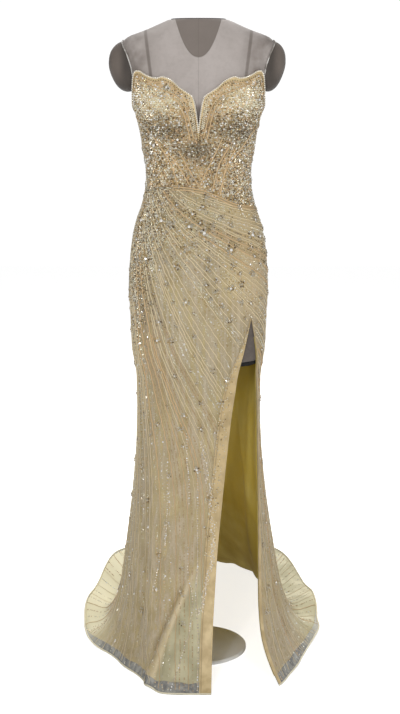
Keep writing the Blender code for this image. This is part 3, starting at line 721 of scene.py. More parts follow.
# The neck piece's round seam dips to 1.398 m in front and to 1.425 m at the back
seam_height = 1.398 + 0.027 * y.clamped(-0.02, 0.02) + 0.083 * (x / 0.051) ** 2.2
over_neck = z - seam_height
neck = over_neck.clamped(-0.0006, 0.0006)
shoulder_line = x - (0.104 + 0.13 * (z - 1.35))
neck_edge = 1 - (over_neck * over_neck).clamped(0.0, 0.0000050)
mottle = look.noise(14.0, 3.0)
princess = (1 - (shoulder_line * shoulder_line).clamped(0.0, 0.0000240)) * (1 - neck) * (0.5 + mottle)
centre = 1 - (x * x).clamped(0.0, 0.0000016)
seam = princess * 0.6 + centre * 0.22 + neck_edge * 0.45
threads = {"Vector": look.place, "Scale": 300.0, "Distortion": 2.0}
knit = look.node("TexWave", {"wave_type": "BANDS"}, threads)
# Painted shade: the cover inside the skirt, below 0.83 to 0.86 m, and behind the notch in front is darkened,
# darkest towards the bottom
lower = z.clamped(0.86, 0.83)
notch = (1 - (x / 0.02).clamped(0.6, 1.1)) * (1 - z.clamped(1.285, 1.305)) * (1 - y.clamped(-0.05, -0.03))
cover = neck.blend((0.515, 0.463, 0.434), (0.220, 0.186, 0.163))
painted_shade_tone = z.clamped(0.74, 0.82).blend((0.040, 0.029, 0.019), (0.058, 0.043, 0.029))
cover = ((lower + notch * 0.6).clamped(0.0, 1.0) * 0.92).blend(cover, painted_shade_tone)
# Painted shade with smudges: the cover darkens towards the sides, from |x| 0.07 to 0.15 m, patchy by a noise
smudge = look.noise(22.0, 3.0).clamped(0.25, 0.75)
side_shade_and_smudge = (x.clamped(0.070, 0.150) * (0.1 + smudge * 0.8)).blend(cover, (0.150, 0.120, 0.100))
speckle = look.noise(75.0, 4.0, 0.7).clamped(0.42, 0.68)
worn = (mottle.clamped(0.35, 0.65) * 0.16 + speckle * 0.14).blend(side_shade_and_smudge, (0.26, 0.220, 0.195))
jersey = look.join(
    Base_Color=seam.blend(worn, (0.13, 0.105, 0.085)),
    Roughness=0.85,
    Normal=look.bumped(knit * 0.4 + look.noise(700.0) * 0.6 - seam * 2, 0.0005, 0.6),
    Sheen_Weight=0.2,
)
mesh, u, v = grid_mesh("form_cover", 170, 180, form_shape, closed=True)
form = piece("form_body", mesh, jersey)
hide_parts("form_torso")


# Shoulder caps, neck plate, rim and stand
# The arm ends are padded pads in dark cloth with white piping round them. A black rim closes the
# form's underside, and a white pole on a round foot carries it, hidden by the skirt.
CAP_TURN, CAP_Z, CAP_HALF_TURN, CAP_HALF_TALL = 92, 1.380, 22, 0.054
CAP_BULGE, CAP_EDGE, CAP_HANG, CAP_CLEAR, PIPING_RADIUS = 0.037, 0.0015, 0.32, 0.0014, 0.0013


def cap_spot(sign, round_turn, share, outer):
    turn = sign * (CAP_TURN + CAP_HALF_TURN * share * np.cos(round_turn))
    z = CAP_Z + CAP_HALF_TALL * share * np.sin(round_turn)
    point = form_point(turn, z, FORM_OUT + CAP_CLEAR + 0 * z)
    full = CAP_BULGE * (0.83 if sign > 0 else 1)
    bulge = (CAP_EDGE + full * np.sqrt(np.maximum(0, 1 - share**2))) * outer
    return point + bulge[..., None] * np.array((sign, 0, -CAP_HANG))


def cap_shape(u, v):
    """From the middle of the outside over the edge, then back to the middle of the inside."""
    share = np.where(v < 0.75, np.sin(math.pi / 2 * np.clip(v / 0.7, 0, 1)), (1 - v) / 0.25)
    return cap_spot(sign, -sign * u * 2 * math.pi, share, (v < 0.75) * 1.0)


look = Look("dark_cap_cloth")
fuzz = look.noise(500.0)
patch = look.noise(16.0)
x, z = abs(look.axis(0)), look.axis(2)
# Painted highlight: a lighter band down the outer face of each cap, dark at its edges and towards its bottom
painted_sheen = x.clamped(0.160, 0.182) * (1 - x.clamped(0.190, 0.212)) * z.clamped(1.325, 1.38)
dark_cloth = look.join(
    Base_Color=(patch * 0.35 + painted_sheen * 0.65).blend((0.028, 0.021, 0.016), (0.172, 0.140, 0.117)),
    Roughness=0.7,
    Normal=look.bumped(fuzz, 0.0004, 0.6),
    Sheen_Weight=0.3,
)
look = Look("white_piping")
twist = look.wave("DIAGONAL", 260.0).blend((0.62, 0.59, 0.55), (0.78, 0.76, 0.73))
worn = look.noise(60.0).clamped(0.35, 0.6)
white_piping = look.join(Base_Color=worn.blend((0.28, 0.25, 0.22), twist), Roughness=0.7)


def tube(name, paths, radius, sides, material, closed=False, thin_below=None):
    """A mesh of round cords, each along its own row of points; thinner low down where that is asked."""
    curve = bpy.data.curves.new(name, "CURVE")
    curve.dimensions = "3D"
    curve.bevel_depth = radius
    curve.bevel_resolution = sides
    curve.use_fill_caps = True
    for path in paths:
        spline = curve.splines.new("POLY")
        spline.points.add(len(path) - 1)
        spline.points.foreach_set("co", np.column_stack([path, np.ones(len(path))]).ravel())
        spline.use_cyclic_u = closed
        if thin_below:
            full = smoothstep(*thin_below, np.asarray(path)[:, 2])
            spline.points.foreach_set("radius", mix(0.5, 1.0, full))
    holder = bpy.data.objects.new(name + "_path", curve)
    scene.collection.objects.link(holder)
    mesh = bpy.data.meshes.new_from_object(holder.evaluated_get(bpy.context.evaluated_depsgraph_get()))
    bpy.data.objects.remove(holder)
    bpy.data.curves.remove(curve)
    mesh.materials.clear()
    mesh.name = name
    mesh.shade_smooth()
    return piece(name, mesh, material)


for side, sign in (("left", -1), ("right", 1)):
    mesh, u, v = grid_mesh("cap_" + side, 64, 40, cap_shape, closed=True)
    cap = piece("cap_" + side, mesh, dark_cloth)
    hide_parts("form_cap_" + side)
    around = np.linspace(0, 2 * math.pi, 97)[:-1]
    ring = cap_spot(sign, around, 1.04, 0.4 + 0 * around)
    piping = tube("cap_piping_" + side, [ring], PIPING_RADIUS, 2, white_piping, closed=True)

look = Look("black_rim")
scuff = look.noise(60.0, 3.0)
rim_black = look.join(
    Base_Color=scuff.blend((0.008, 0.008, 0.008), (0.02, 0.02, 0.02)),
    Roughness=0.6 + scuff * 0.2,
    Specular_IOR_Level=0.2,
)


RIM_TALL, RIM_SLOPE, RIM_GAP = 0.009, 0.007, 0.0004


def rim_shape(u, v):
    """A wall 9 mm tall under the form, with an underside that slopes 7 mm more to the pole."""
    turn = u * 360 - 180
    ring = form_point(turn, FORM_BOTTOM)
    wall = np.clip((v - 0.2) / 0.6, 0, 1)
    inset = 0.002 + 0.004 * wall**2
    away = np.linalg.norm(ring[:, :2], axis=1)
    inward = np.where(v > 0.8, (v - 0.8) / 0.2, np.where(v < 0.2, (0.2 - v) / 0.2, 0))
    ring[:, :2] *= ((1 - inset / away) * (1 - inward))[:, None]
    sloped = np.clip((v - 0.8) / 0.15, 0, 1)
    ring[:, 2] = FORM_BOTTOM - RIM_GAP - RIM_TALL * wall - RIM_SLOPE * sloped
    return ring


mesh, u, v = grid_mesh("base_rim", 120, 20, rim_shape, closed=True)
mesh.flip_normals()
rim = piece("base_rim", mesh, rim_black)
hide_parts("form_rim")
look = Look("white_lacquer")
dust = look.noise(30.0, 3.0)
white = dust.blend((0.88, 0.88, 0.87), (0.93, 0.93, 0.93))
stand_white = look.join(Base_Color=white, Roughness=0.8 + dust * 0.15)


def dress(name, material):
    """One of the part's own meshes stays as it is and gets a material."""
    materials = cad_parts[name].data.materials
    materials.clear()
    materials.append(material)


dress("form_neck_plate", dark_cloth)
dress("stand_pole", stand_white)
dress("stand_base", stand_white)

# Bodice
# A boned bodice in champagne tulle over nude cloth: two cups in one piece with the front, a side
# piece under each cup, and two back pieces. Its top edge is scalloped, with a narrow notch in front.
CUP_SEAM_START = 19.5
# The seam under each cup and the scalloped top edge, as heights by the direction from the middle
CUP_SEAM = Table(
    ("degrees", "left", "right"),
    (
        (19.5, 1.114, 1.094), (24, 1.142, 1.124), (29, 1.172, 1.155), (39, 1.207, 1.187),
        (54, 1.241, 1.219), (69, 1.262, 1.244), (92, 1.275, 1.262),
    ),
)
TOP_EDGE = Table(
    ("degrees", "z"),
    (
        (0, 1.2345), (3, 1.3), (4.3, 1.311), (9, 1.321), (14, 1.33), (19.5, 1.344), (24, 1.351),
        (29, 1.3545), (34, 1.352), (39, 1.3535), (44, 1.3575), (49, 1.363), (54, 1.369), (59, 1.37),
        (64, 1.364), (69, 1.351), (75, 1.327), (82, 1.303), (92, 1.291), (120, 1.265), (150, 1.252),
        (180, 1.247),
    ),
)


def top_edge(turn):
    return TOP_EDGE.at("z", np.abs(turn))


def waist(turn):
    return WAIST.at("z", turn)


def cup_seam(turn):
    away = np.abs(turn)
    seam = np.where(turn < 0, CUP_SEAM.at("left", away), CUP_SEAM.at("right", away))
    return np.where(away > CUP_SEAM_START, np.maximum(seam, waist(turn)), waist(turn))


def band_spots(start, end, low, high, crowd, u, v):
    """Between two heights, from one direction to another; crowd above 1 packs columns at the middle."""
    off = 2 * u - 1
    turn = mix(start, end, 0.5 + 0.5 * np.sign(off) * np.abs(off) ** crowd)
    return turn, mix(low(turn), high(turn), v)


def cup_light(turn, level):
    """Where the cups' upper halves carry the palest beads and a painted highlight, partly bead colour and
    partly painted light.
    """
    return bell((np.abs(turn) - 42) / 26, (level - 1.306) / 0.032)


def cup_shade(turn, level):
    """Where painted shade darkens beads and cloth: the cups' lower halves, the middle below the notch and the
    sides near the waist.
    """
    under = bell((np.abs(turn) - 42) / 34, (level - 1.240) / 0.026)
    middle = bell(turn / 18, (level - 1.195) / 0.028)
    sides = 0.5 * bell((np.abs(turn) - 88) / 26) * smoothstep(1.26, 1.16, level)
    return np.maximum(np.maximum(under, middle), sides)


look = Look("bodice_tulle")
patch = look.noise(30.0, 3.0)
strip = look.marked("strip").clamped(0.35, 0.65)
light = look.marked("light")
# Painted light on the cloth: lighter on the upper cups, painted shade under the cups, below the notch and at
# the sides
middling = patch.clamped(0.35, 0.65).blend((0.26, 0.185, 0.095), (0.54, 0.39, 0.205))
lit = light.clamped(0.0, 0.8).blend(middling, (0.80, 0.66, 0.40))
shaded = (0 - light).clamped(0.0, 0.7).blend(lit, (0.17, 0.125, 0.07))
cells = {"Vector": look.place, "Scale": 700.0}
mesh_net = look.node("TexVoronoi", {"feature": "DISTANCE_TO_EDGE"}, cells)
nude_cloth = look.join(
    Base_Color=strip.blend(shaded, (0.68, 0.50, 0.28)),
    Roughness=0.6,
    Normal=look.bumped(mesh_net * 4 + patch, 0.0005, 0.5),
)
BODICE = {
    "bodice_front": (-91.95, 91.95, cup_seam, top_edge, 150, 44, 1.5),
    "bodice_side_left": (-91.95, -20.5, waist, cup_seam, 44, 26, 1.0),
    "bodice_side_right": (20.5, 91.95, waist, cup_seam, 44, 26, 1.0),
    "bodice_back_left": (-179.95, -92.05, waist, top_edge, 50, 32, 1.0),
    "bodice_back_right": (92.05, 179.95, waist, top_edge, 50, 32, 1.0),
}
bodice, cuts = {}, {}
for name, (start, end, low, high, wide, tall, crowd) in BODICE.items():
    band = (start, end, lambda a: low(a) + 0.0006, lambda a: high(a) - 0.0003, crowd)
    shape = lambda u, v: spot(*band_spots(*band, u, v), TULLE_MIDDLE)
    mesh, u, v = grid_mesh("cloth_" + name, wide, tall, shape)
    turn, level = band_spots(*band, u, v)
    mark(mesh, "strip", 1 - smoothstep(0.018, 0.028, top_edge(turn) - level))
    # Painted light and shade on the cups, for the material to read
    mark(mesh, "light", cup_light(turn, level) - 0.7 * cup_shade(turn, level))
    bodice[name] = piece("cloth_" + name, mesh, nude_cloth)
    cuts[name] = (u, v)
    thicken(bodice[name], TULLE_SHEET)
    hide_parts(name)

# Bindings
# A peach satin strip edges the top, with a row of pearls along its scallops. Wider peach bands
# finish both sides of the slit, each with one line of stitching beside its inner edge.
BINDING = Table(
    ("degrees", "share"),
    ((0, 0.18), (3, 0.18), (4.3, 0.09), (6.5, 0.050), (9, 0.034), (180, 0.034)),
)


def binding_low(turn):
    return mix(top_edge(turn), waist(turn), BINDING.at("share", np.abs(turn)))


look = Look("peach_satin")
cloudy = look.noise(40.0, 3.0)
stitch = look.marked("stitch")
height = look.axis(2)
height = height.clamped(0.16, 0.36) - height.clamped(1.0, 1.1)
satin_dark = height.blend((0.52, 0.385, 0.19), (0.44, 0.325, 0.160))
satin_light = height.blend((0.72, 0.565, 0.31), (0.60, 0.455, 0.235))
satin_tone = cloudy.clamped(0.3, 0.7).blend(satin_dark, satin_light)
peach_satin = look.join(
    Base_Color=(stitch * 0.6).blend(satin_tone, (0.27, 0.19, 0.10)),
    Roughness=0.5,
    Normal=look.bumped(look.noise(800.0) - stitch * 3, 0.0004, 0.5),
    Sheen_Weight=0.15,
)
BINDING_MIDDLE, BINDING_SHEET, SLIT_BAND_MIDDLE, SLIT_BAND_SHEET = 0.0043, 0.0009, 0.0038, 0.0007
bindings = {}
for name, start, end, wide, crowd in (
    ("neck_binding_front", -91.9, 91.9, 170, 1.5),
    ("neck_binding_back_left", -177.0, -92.1, 50, 1.0),
    ("neck_binding_back_right", 92.1, 177.0, 50, 1.0),
):
    band = (start, end, binding_low, top_edge, crowd)
    shape = lambda u, v: spot(*band_spots(*band, u, v), BINDING_MIDDLE)
    mesh, u, v = grid_mesh("satin_" + name, wide, 6, shape)
    mark(mesh, "stitch", 0 * u)
    bindings[name] = piece("satin_" + name, mesh, peach_satin)
    thicken(bindings[name], BINDING_SHEET)
    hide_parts(name)

for name, item in bodice.items():
    own = bindings.get(name.replace("bodice", "neck_binding"))
    lay_flat(item, *cuts[name], "stretched", ["form_body"], [own] if own else [])


def band_edges(side, level):
    """The band's two sides; it narrows to a point at the top of the slit."""
    narrow = 1 - 0.9 * smoothstep(0.62, SLIT_TOP, level)
    if side == "left":
        edge = slit_edge("left", level)
        return edge - turn_across(SLIT_BAND * narrow, edge, level), edge
    edge = slit_edge("right", level)
    return edge, edge + turn_across(SLIT_EDGE * 0.7 * narrow, edge, level)


def slit_band_shape(u, v):
    level = level_of(v, SLIT_TOP)
    return spot(mix(*band_edges(side, level), u), level, SLIT_BAND_MIDDLE)


for side, wide in (("left", 14), ("right", 8)):
    mesh, u, v = grid_mesh("satin_slit_" + side, wide, 110, slit_band_shape)
    beside = np.abs(u - (0.16 if side == "left" else 0.8)) < 0.04
    mark(mesh, "stitch", beside * 1.0)
    bindings[side] = piece("satin_slit_" + side, mesh, peach_satin)
    lay_flat(bindings[side], u, v, "hung", [skirts["front" if side == "left" else "right"]])
    thicken(bindings[side], SLIT_BAND_SHEET)
    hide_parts("slit_band_" + side)

# Beadwork lines
# Fine cords and rows of beads are sewn down in lines that fan out from the left hip, sweep across
# the front, and turn upright above the knee to run down to the hem, about 7 mm apart.
LEAN_TURNS = (-180, -100, -60, 0, 50, 90, 130, 180)
LEAN = (
    (0.3, 0, 0, 0, 0, 0, 0, 0, 0), (0.4, 0, 0, 1, 4, 2, 1, 0, 0), (0.5, 0, 0, 4, 14, 8, 6, 3, 0),
    (0.6, 0, 0, 8, 28, 28, 22, 10, 0), (0.7, 0, 0, 6, 32, 38, 38, 18, 0),
    (0.8, 0, 0, 4, 30, 44, 48, 25, 0), (0.9, 0, 0, 5, 36, 54, 58, 32, 0),
    (1, 0, 0, 10, 52, 70, 72, 40, 0), (1.1, 0, 0, 20, 70, 80, 78, 40, 0),
)
lean_levels = [row[0] for row in LEAN]
lean_columns = np.array([np.interp(levels, lean_levels, column) for column in np.array(LEAN)[:, 1:].T])
lean = np.radians([np.interp(turns, LEAN_TURNS, lean_columns[:, i]) for i in range(len(levels))])
per_turn = np.linalg.norm(np.gradient(cloth, TURN_STEP, axis=1), axis=-1)
per_level = np.linalg.norm(np.gradient(cloth, levels, axis=0), axis=-1)
along_step = (np.sin(lean) / per_turn, -np.cos(lean) / per_level)
across_step = (np.cos(lean) / per_turn, np.sin(lean) / per_level)
flow = np.dstack([cloth, *along_step, *across_step])


def flow_at(turn, level):
    """Place, step along the flow and step across it, for one metre, at one spot."""
    column = (turn + 180) / TURN_STEP
    row = level / FINE_STEP if level < FINE_TOP else FINE_ROWS + (level - FINE_TOP) / LEVEL_STEP
    i, j = min(int(row), len(levels) - 2), min(int(column), len(turns) - 2)
    v, u = row - i, column - j
    low = flow[i, j] * (1 - u) + flow[i, j + 1] * u
    return (low * (1 - v) + (flow[i + 1, j] * (1 - u) + flow[i + 1, j + 1] * u) * v).tolist()


sample_levels = np.linspace(0, SLIT_TOP, 200)
slit_left = band_edges("left", sample_levels)[0]
slit_right = band_edges("right", sample_levels)[1]
sample_turns = np.linspace(-180, 180, 361)
waist_line = waist(sample_turns)


def on_skirt(turn, level):
    """Whether a spot is on the beaded tulle, clear of the slit's bands, the zip and the hem."""
    if abs(turn) > 178.6 or level < 0.004 or level > np.interp(turn, sample_turns, waist_line) - 0.004:
        return False
    if level < SLIT_TOP:
        k = level / SLIT_TOP * 199
        return not slit_left[int(k)] - 0.6 < turn < slit_right[int(k)] + 0.6
    return True


def spacing(turn, level):
    low = min(1.0, max(0.0, (0.5 - level) / 0.4))
    return 0.0066 + 0.0042 * low * (1 + (abs(turn) > 100) * 0.5)


class Sewing:
    """Lines spread evenly over the skirt: each new one starts beside an earlier line."""

    CELL, STITCH = 0.013, 0.005

    def __init__(self):
        self.cells, self.lines = {}, []

    def crowded(self, place, reach):
        i, j, k = (int(value // self.CELL) for value in place)
        around = itertools.product((i - 1, i, i + 1), (j - 1, j, j + 1), (k - 1, k, k + 1))
        near = (math.dist(other, place) for key in around for other in self.cells.get(key, ()))
        return any(away < reach for away in near)

    def trace(self, turn, level, way):
        line = []
        for _ in range(500):
            x, y, z, along_turn, along_level, _, _ = flow_at(turn, level)
            if line and self.crowded((x, y, z), 0.55 * spacing(turn, level)):
                break
            line.append((turn, level, x, y, z))
            turn += way * along_turn * self.STITCH
            level += way * along_level * self.STITCH
            if not on_skirt(turn, level):
                break
        return line

    def sew(self, turn, level, kind):
        line = self.trace(turn, level, -1)[::-1] + self.trace(turn, level, 1)[1:]
        if len(line) < 8:
            return
        for _, _, *place in line:
            key = tuple(int(value // self.CELL) for value in place)
            self.cells.setdefault(key, []).append(place)
        self.lines.append((kind % 8, np.array(line)))

    def fill(self, starts):
        for turn, level, kind in starts:
            if not self.crowded(flow_at(turn, level)[:3], spacing(turn, level)):
                self.sew(turn, level, kind)
        done = 0
        while done < len(self.lines):
            kind, line = self.lines[done]
            for turn, level, *_ in line[2::5]:
                apart = spacing(turn, level) * 1.02
                across_turn, across_level = flow_at(turn, level)[5:]
                for way in (1, -1):
                    start = (turn + way * across_turn * apart, level + way * across_level * apart)
                    if on_skirt(*start) and not self.crowded(flow_at(*start)[:3], 0.93 * apart):
                        self.sew(*start, kind + way)
            done += 1


sewing = Sewing()
sewing.fill(((-60, 0.9, 0), (100, 0.9, 0), (-150, 0.6, 0), (80, 0.3, 0)))

cord_looks = {}
for sort, dark, light, rough in (
    ("pale", (0.62, 0.51, 0.31), (0.80, 0.68, 0.46), 0.45),
    ("peach", (0.56, 0.385, 0.20), (0.72, 0.53, 0.30), 0.5),
):
    look = Look(sort + "_cord")
    twist = look.wave("DIAGONAL", 240.0)
    cord_looks[sort] = look.join(Base_Color=twist.blend(dark, light), Roughness=rough)

SEWN_OUT, CORD_STEP, ROW_STEP, SWAY = 0.0030, 0.006, 0.0033, 0.0006


def resampled(line, step):
    """Turns and levels at even distances along a line."""
    gone = gone_along(line[:, 2:5])
    stops = np.linspace(0, gone[-1], max(3, int(gone[-1] / step) + 1))
    return np.interp(stops, gone, line[:, 0]), np.interp(stops, gone, line[:, 1])


def side_of(line):
    middle = line[len(line) // 2, 0]
    if abs(middle) > SIDE_SEAM:
        return "back_left" if middle < 0 else "back_right"
    return "front" if middle < FRONT_SEAM else "right"


cord_paths, row_spots = {}, {}
for kind, line in sewing.lines:
    side = side_of(line)
    if kind in (0, 2, 4, 6):
        turn, level = resampled(line, CORD_STEP)
        # Sewn by hand, so each line wavers a little to both sides
        sway = (SWAY * np.sin(1.4 * np.arange(len(turn)) + len(turn)))[:, None]
        turn, level = (turn, level) + (sway * read(flow[..., 5:7], turn, level)).T
        sort = "peach" if kind == 0 else "pale"
        cord_paths.setdefault((side, sort), []).append(spot(turn, level, SEWN_OUT))
    else:
        turn, level = resampled(line, ROW_STEP)
        row_spots.setdefault(side, []).append((kind, turn, level))
CORD_SIZES = {"peach": (0.0015, (0.25, 0.7)), "pale": (0.0013, (0.35, 0.75))}
for (side, sort), paths in cord_paths.items():
    radius, thin_below = CORD_SIZES[sort]
    item = tube("cord_%s_%s" % (sort, side), paths, radius, 0, cord_looks[sort], thin_below=thin_below)

# Beads and crystals
# Round glass beads, silver, pearl, gold and brown, are sewn in the rows between the cords, packed
# closely on the bodice and the hips, with clusters of nine small beads round a crystal among them.
PALETTE = {
    "silver": (0.68, 0.63, 0.51),
    "pearl": (0.95, 0.88, 0.68),
    "gold": (0.56, 0.41, 0.19),
    "peach": (0.80, 0.57, 0.34),
    "brown": (0.17, 0.115, 0.06),
}
look = Look("bead_glass")
tint = look.marked("tint", "Color")
glass = look.join(Base_Color=tint, Roughness=0.20, Metallic=0.2, Coat_Weight=0.5, Coat_Roughness=0.05)
chance = np.random.default_rng(7)


def template(kind, **sizes):
    """A small closed shape from one of Blender's own operators: its points and its triangles."""
    work = bmesh.new()
    getattr(bmesh.ops, "create_" + kind)(work, **sizes)
    bmesh.ops.triangulate(work, faces=work.faces)
    work.verts.ensure_lookup_table()
    points = np.array([tuple(vert.co) for vert in work.verts])
    corners = np.array([[vert.index for vert in face.verts] for face in work.faces])
    work.free()
    return points, corners


SEED_BEAD = template("uvsphere", u_segments=4, v_segments=2, radius=1.0)
CRYSTAL = template("icosphere", subdivisions=1, radius=1.0)


def strew(name, shape, turn, level, out, sizes, tints, slot_name="beaded_tulle", spin=None):
    """One mesh of many beads, each standing on the gown's surface and turned its own way."""
    points, corners = shape
    centre = spot(turn, level, out)
    normal = normal_at(turn, level)
    upright = np.array([0, 0, 1.0]) - normal * normal[:, 2:3]
    flat = np.linalg.norm(upright, axis=1, keepdims=True) < 0.2
    upright = unit(np.where(flat, np.array([0, 1.0, 0]) - normal * normal[:, 1:2], upright))
    beside = np.cross(upright, normal)
    if spin is None:
        spin = chance.uniform(0, 2 * math.pi, len(turn))
    c, s = np.cos(spin)[:, None], np.sin(spin)[:, None]
    first, second = beside * c + upright * s, upright * c - beside * s
    axes = np.stack([first * sizes[:, 0:1], second * sizes[:, 1:2], normal * sizes[:, 2:3]], axis=1)
    places = centre[:, None, :] + np.einsum("pk,nkd->npd", points, axes)
    places[..., 2] = np.maximum(places[..., 2], 0.0001)
    faces = (corners[None] + (np.arange(len(turn)) * len(points))[:, None, None]).reshape(-1, 3)
    mesh = bpy.data.meshes.new(name)
    mesh.from_pydata(places.reshape(-1, 3), [], faces)
    colours = np.concatenate([tints, np.ones((len(tints), 1))], axis=1)
    layer = mesh.attributes.new("tint", "FLOAT_COLOR", "POINT")
    layer.data.foreach_set("color", np.repeat(colours, len(points), axis=0).astype(np.float32).ravel())
    piece(name, mesh, glass)


def bead_sizes(low, high, count):
    """Sizes across, along and up of beads that are a little flat."""
    return chance.uniform(low, high, (count, 1)) * np.array([[1, 1, 0.8]])


def pick(names, shares, count):
    """Colours for beads, drawn from the palette in the given shares, each a little different."""
    chosen = chance.choice(len(names), count, p=np.array(shares) / sum(shares))
    tints = np.array([PALETTE[n] for n in names])[chosen]
    return np.clip(tints * chance.uniform(0.8, 1.15, (count, 1)), 0, 0.95)


ROW_MIX = {
    1: (("brown", "gold", "peach"), (0.35, 0.4, 0.25)),
    3: (("silver", "pearl"), (0.4, 0.6)),
    5: (("gold", "pearl", "silver"), (0.4, 0.3, 0.3)),
    7: (("silver", "peach", "pearl"), (0.3, 0.3, 0.4)),
}
for side, rows in row_spots.items():
    turn, level = np.concatenate([r[1:] for r in rows], axis=1)
    sort = np.concatenate([np.full(len(r[1]), r[0]) for r in rows])
    astray = (chance.uniform(-1, 1, len(turn)) * 0.0019 * (sort != 1))[:, None]
    turn, level = (turn, level) + (read(flow[..., 5:7], turn, level) * astray).T
    tints = np.concatenate([pick(*ROW_MIX[r[0]], len(r[1])) for r in rows])
    size = bead_sizes(0.0011, 0.0019, len(turn))
    dull = ((sort == 1) & (level < 0.80))[:, None]
    tints = np.where(dull, tints * 0.25 + np.array([PALETTE["peach"]]) * 0.6, tints)
    sparkling = (chance.random(len(turn)) < 0.05) & (sort != 1)
    size[sparkling] *= 1.5
    tints[sparkling] = (0.95, 0.94, 0.92)
    share = np.array([0, 1, 0, 1, 0, 0.7, 0, 0.9])[sort]
    kept = chance.random(len(turn)) < share * (0.55 + 0.45 * smoothstep(0.3, 0.7, level))
    strew("rows_" + side, SEED_BEAD, turn[kept], level[kept], SEWN_OUT, size[kept], tints[kept])


def packed(low, high, apart, keep):
    """Spots in staggered rows, a little out of line, where keep(turn, level) is true."""
    rows = []
    for i, level in enumerate(np.arange(low, high, apart * 0.87)):
        step = turn_across(apart, 0.0, level)
        turn = np.arange(-179 + (i % 2) * step / 2, 179, step)
        turn = turn + chance.uniform(-0.25, 0.25, len(turn)) * step
        rows.append((turn, level + chance.uniform(-0.25, 0.25, len(turn)) * apart))
    turn, level = np.concatenate(rows, axis=1)
    kept = keep(turn, level)
    return turn[kept], level[kept]


def on_bodice(a, z):
    """Close all over, thinner on the peach strip under the scallops."""
    strip = smoothstep(0.010, 0.019, binding_low(a) - z)
    inside = (z > waist(a) + 0.001) & (z < binding_low(a) - 0.002) & (np.abs(a) < 178.5)
    return inside & (chance.random(len(a)) < 0.6 + 0.4 * strip)


turn, level = packed(1.06, 1.372, 0.0044, on_bodice)
size = bead_sizes(0.0013, 0.0024, len(turn))
bright = pick(("pearl", "silver", "gold", "peach"), (0.68, 0.10, 0.08, 0.14), len(turn))
plain = pick(("silver", "pearl", "gold", "peach", "brown"), (0.27, 0.12, 0.29, 0.16, 0.16), len(turn))
# Painted light on the beads: paler beads on the upper cups, and beads darkened as painted shade where
# cup_shade is high
lit = cup_light(turn, level)
tints = np.where((chance.random(len(turn)) < 0.14 + 0.86 * lit)[:, None], bright, plain)
tints = tints * (1 - 0.42 * cup_shade(turn, level) * (chance.random(len(turn)) < 0.8))[:, None]
sparkling = chance.random(len(turn)) < 0.03 + 0.05 * lit
size[sparkling] = 0.0026
tints[sparkling] = (0.95, 0.94, 0.91)
for name, kept in (("front", np.abs(turn) < 92), ("back", np.abs(turn) >= 92)):
    beads = (turn[kept], level[kept], SEWN_OUT, size[kept], tints[kept])
    strew("beads_bodice_" + name, SEED_BEAD, *beads, "beaded_bodice")


def on_hip(a, z):
    above = np.where(np.abs(a + 66) < 38, 0.010, -0.001)
    return (z < waist(a) + above) & (chance.random(len(a)) < 0.9 * hip_cover(a, z)) & (np.abs(a) < 178.5)


turn, level = packed(0.72, 1.115, 0.0041, on_hip)
size = bead_sizes(0.0012, 0.0021, len(turn))
tints = pick(("silver", "pearl", "gold", "peach", "brown"), (0.28, 0.22, 0.20, 0.08, 0.22), len(turn))
strew("beads_hip", SEED_BEAD, turn, level, SEWN_OUT + 0.0004, size, tints)

# Strings of crystals down the front, given by direction and level from the top down. The first, two
# or three crystals wide, is beside the slit.
STRINGS = (
    ((2.5, 0.546), (5.5, 0.477), (9, 0.408), (12, 0.318), (11, 0.273), (7.5, 0.237), (3.5, 0.192), (1, 0.15)),
    ((-9.0, 0.560), (-9.0, 0.500), (-7.5, 0.459), (-7.0, 0.400)),
    ((-27.5, 0.500), (-27.5, 0.405), (-28.5, 0.348), (-29.5, 0.303)),
    ((-0.5, 0.470), (-0.5, 0.363), (-0.5, 0.273), (-2.0, 0.204), (-0.5, 0.096), (-1.0, 0.006)),
    ((-8.5, 0.3), (-8.5, 0.237), (-4, 0.183), (-6, 0.129), (-11, 0.087), (-16.5, 0.043), (-22.5, 0.006)),
    ((-35.5, 0.290), (-36.5, 0.258), (-40.0, 0.231), (-44.0, 0.189)),
)
strings = []
for rank, rows in enumerate(STRINGS):
    table = Table(("k", "turn", "level"), [(k, a, z) for k, (a, z) in enumerate(rows)])
    wide = 3 if rank == 0 else 1
    steps = np.linspace(0, len(rows) - 1, int((rows[0][1] - rows[-1][1]) / 0.0052) * wide)
    turn, level = table.at("turn", steps), table.at("level", steps)
    reach = 0.005 if wide > 1 else 0.0008
    strings.append((turn + chance.uniform(-reach, reach, len(turn)) * turn_across(1.0, turn, level), level))
turn, level = np.concatenate(strings, axis=1)
size = bead_sizes(0.0014, 0.0023, len(turn))
tints = np.clip(np.array([(0.94, 0.83, 0.66)]) * chance.uniform(0.6, 1.05, (len(turn), 1)), 0, 0.95)
tints[chance.random(len(turn)) < 0.12] = (0.95, 0.95, 0.93)
strew("crystal_strings", CRYSTAL, turn, level, SEWN_OUT + 0.0008, size, tints)

# Peach cords on the bodice: beside the notch and under the scallops, in a chevron down to the waist,
# under each cup's seam, and over the waist seam
def on_front(rows):
    """A smooth line through places given by distance from the middle and height."""
    table = Table(("k", "x", "z"), [(k, x, z) for k, (x, z) in enumerate(rows)])
    steps = np.linspace(0, len(rows) - 1, 16 * (len(rows) - 1) + 1)
    x, z = table.at("x", steps), table.at("z", steps)
    turn = np.degrees(np.arcsin(np.clip(np.abs(x) / BODY.at("half", z), 0, 1) ** (1 / ROUNDNESS)))
    return spot(np.sign(x) * turn, z, SEWN_OUT + 0.0012)


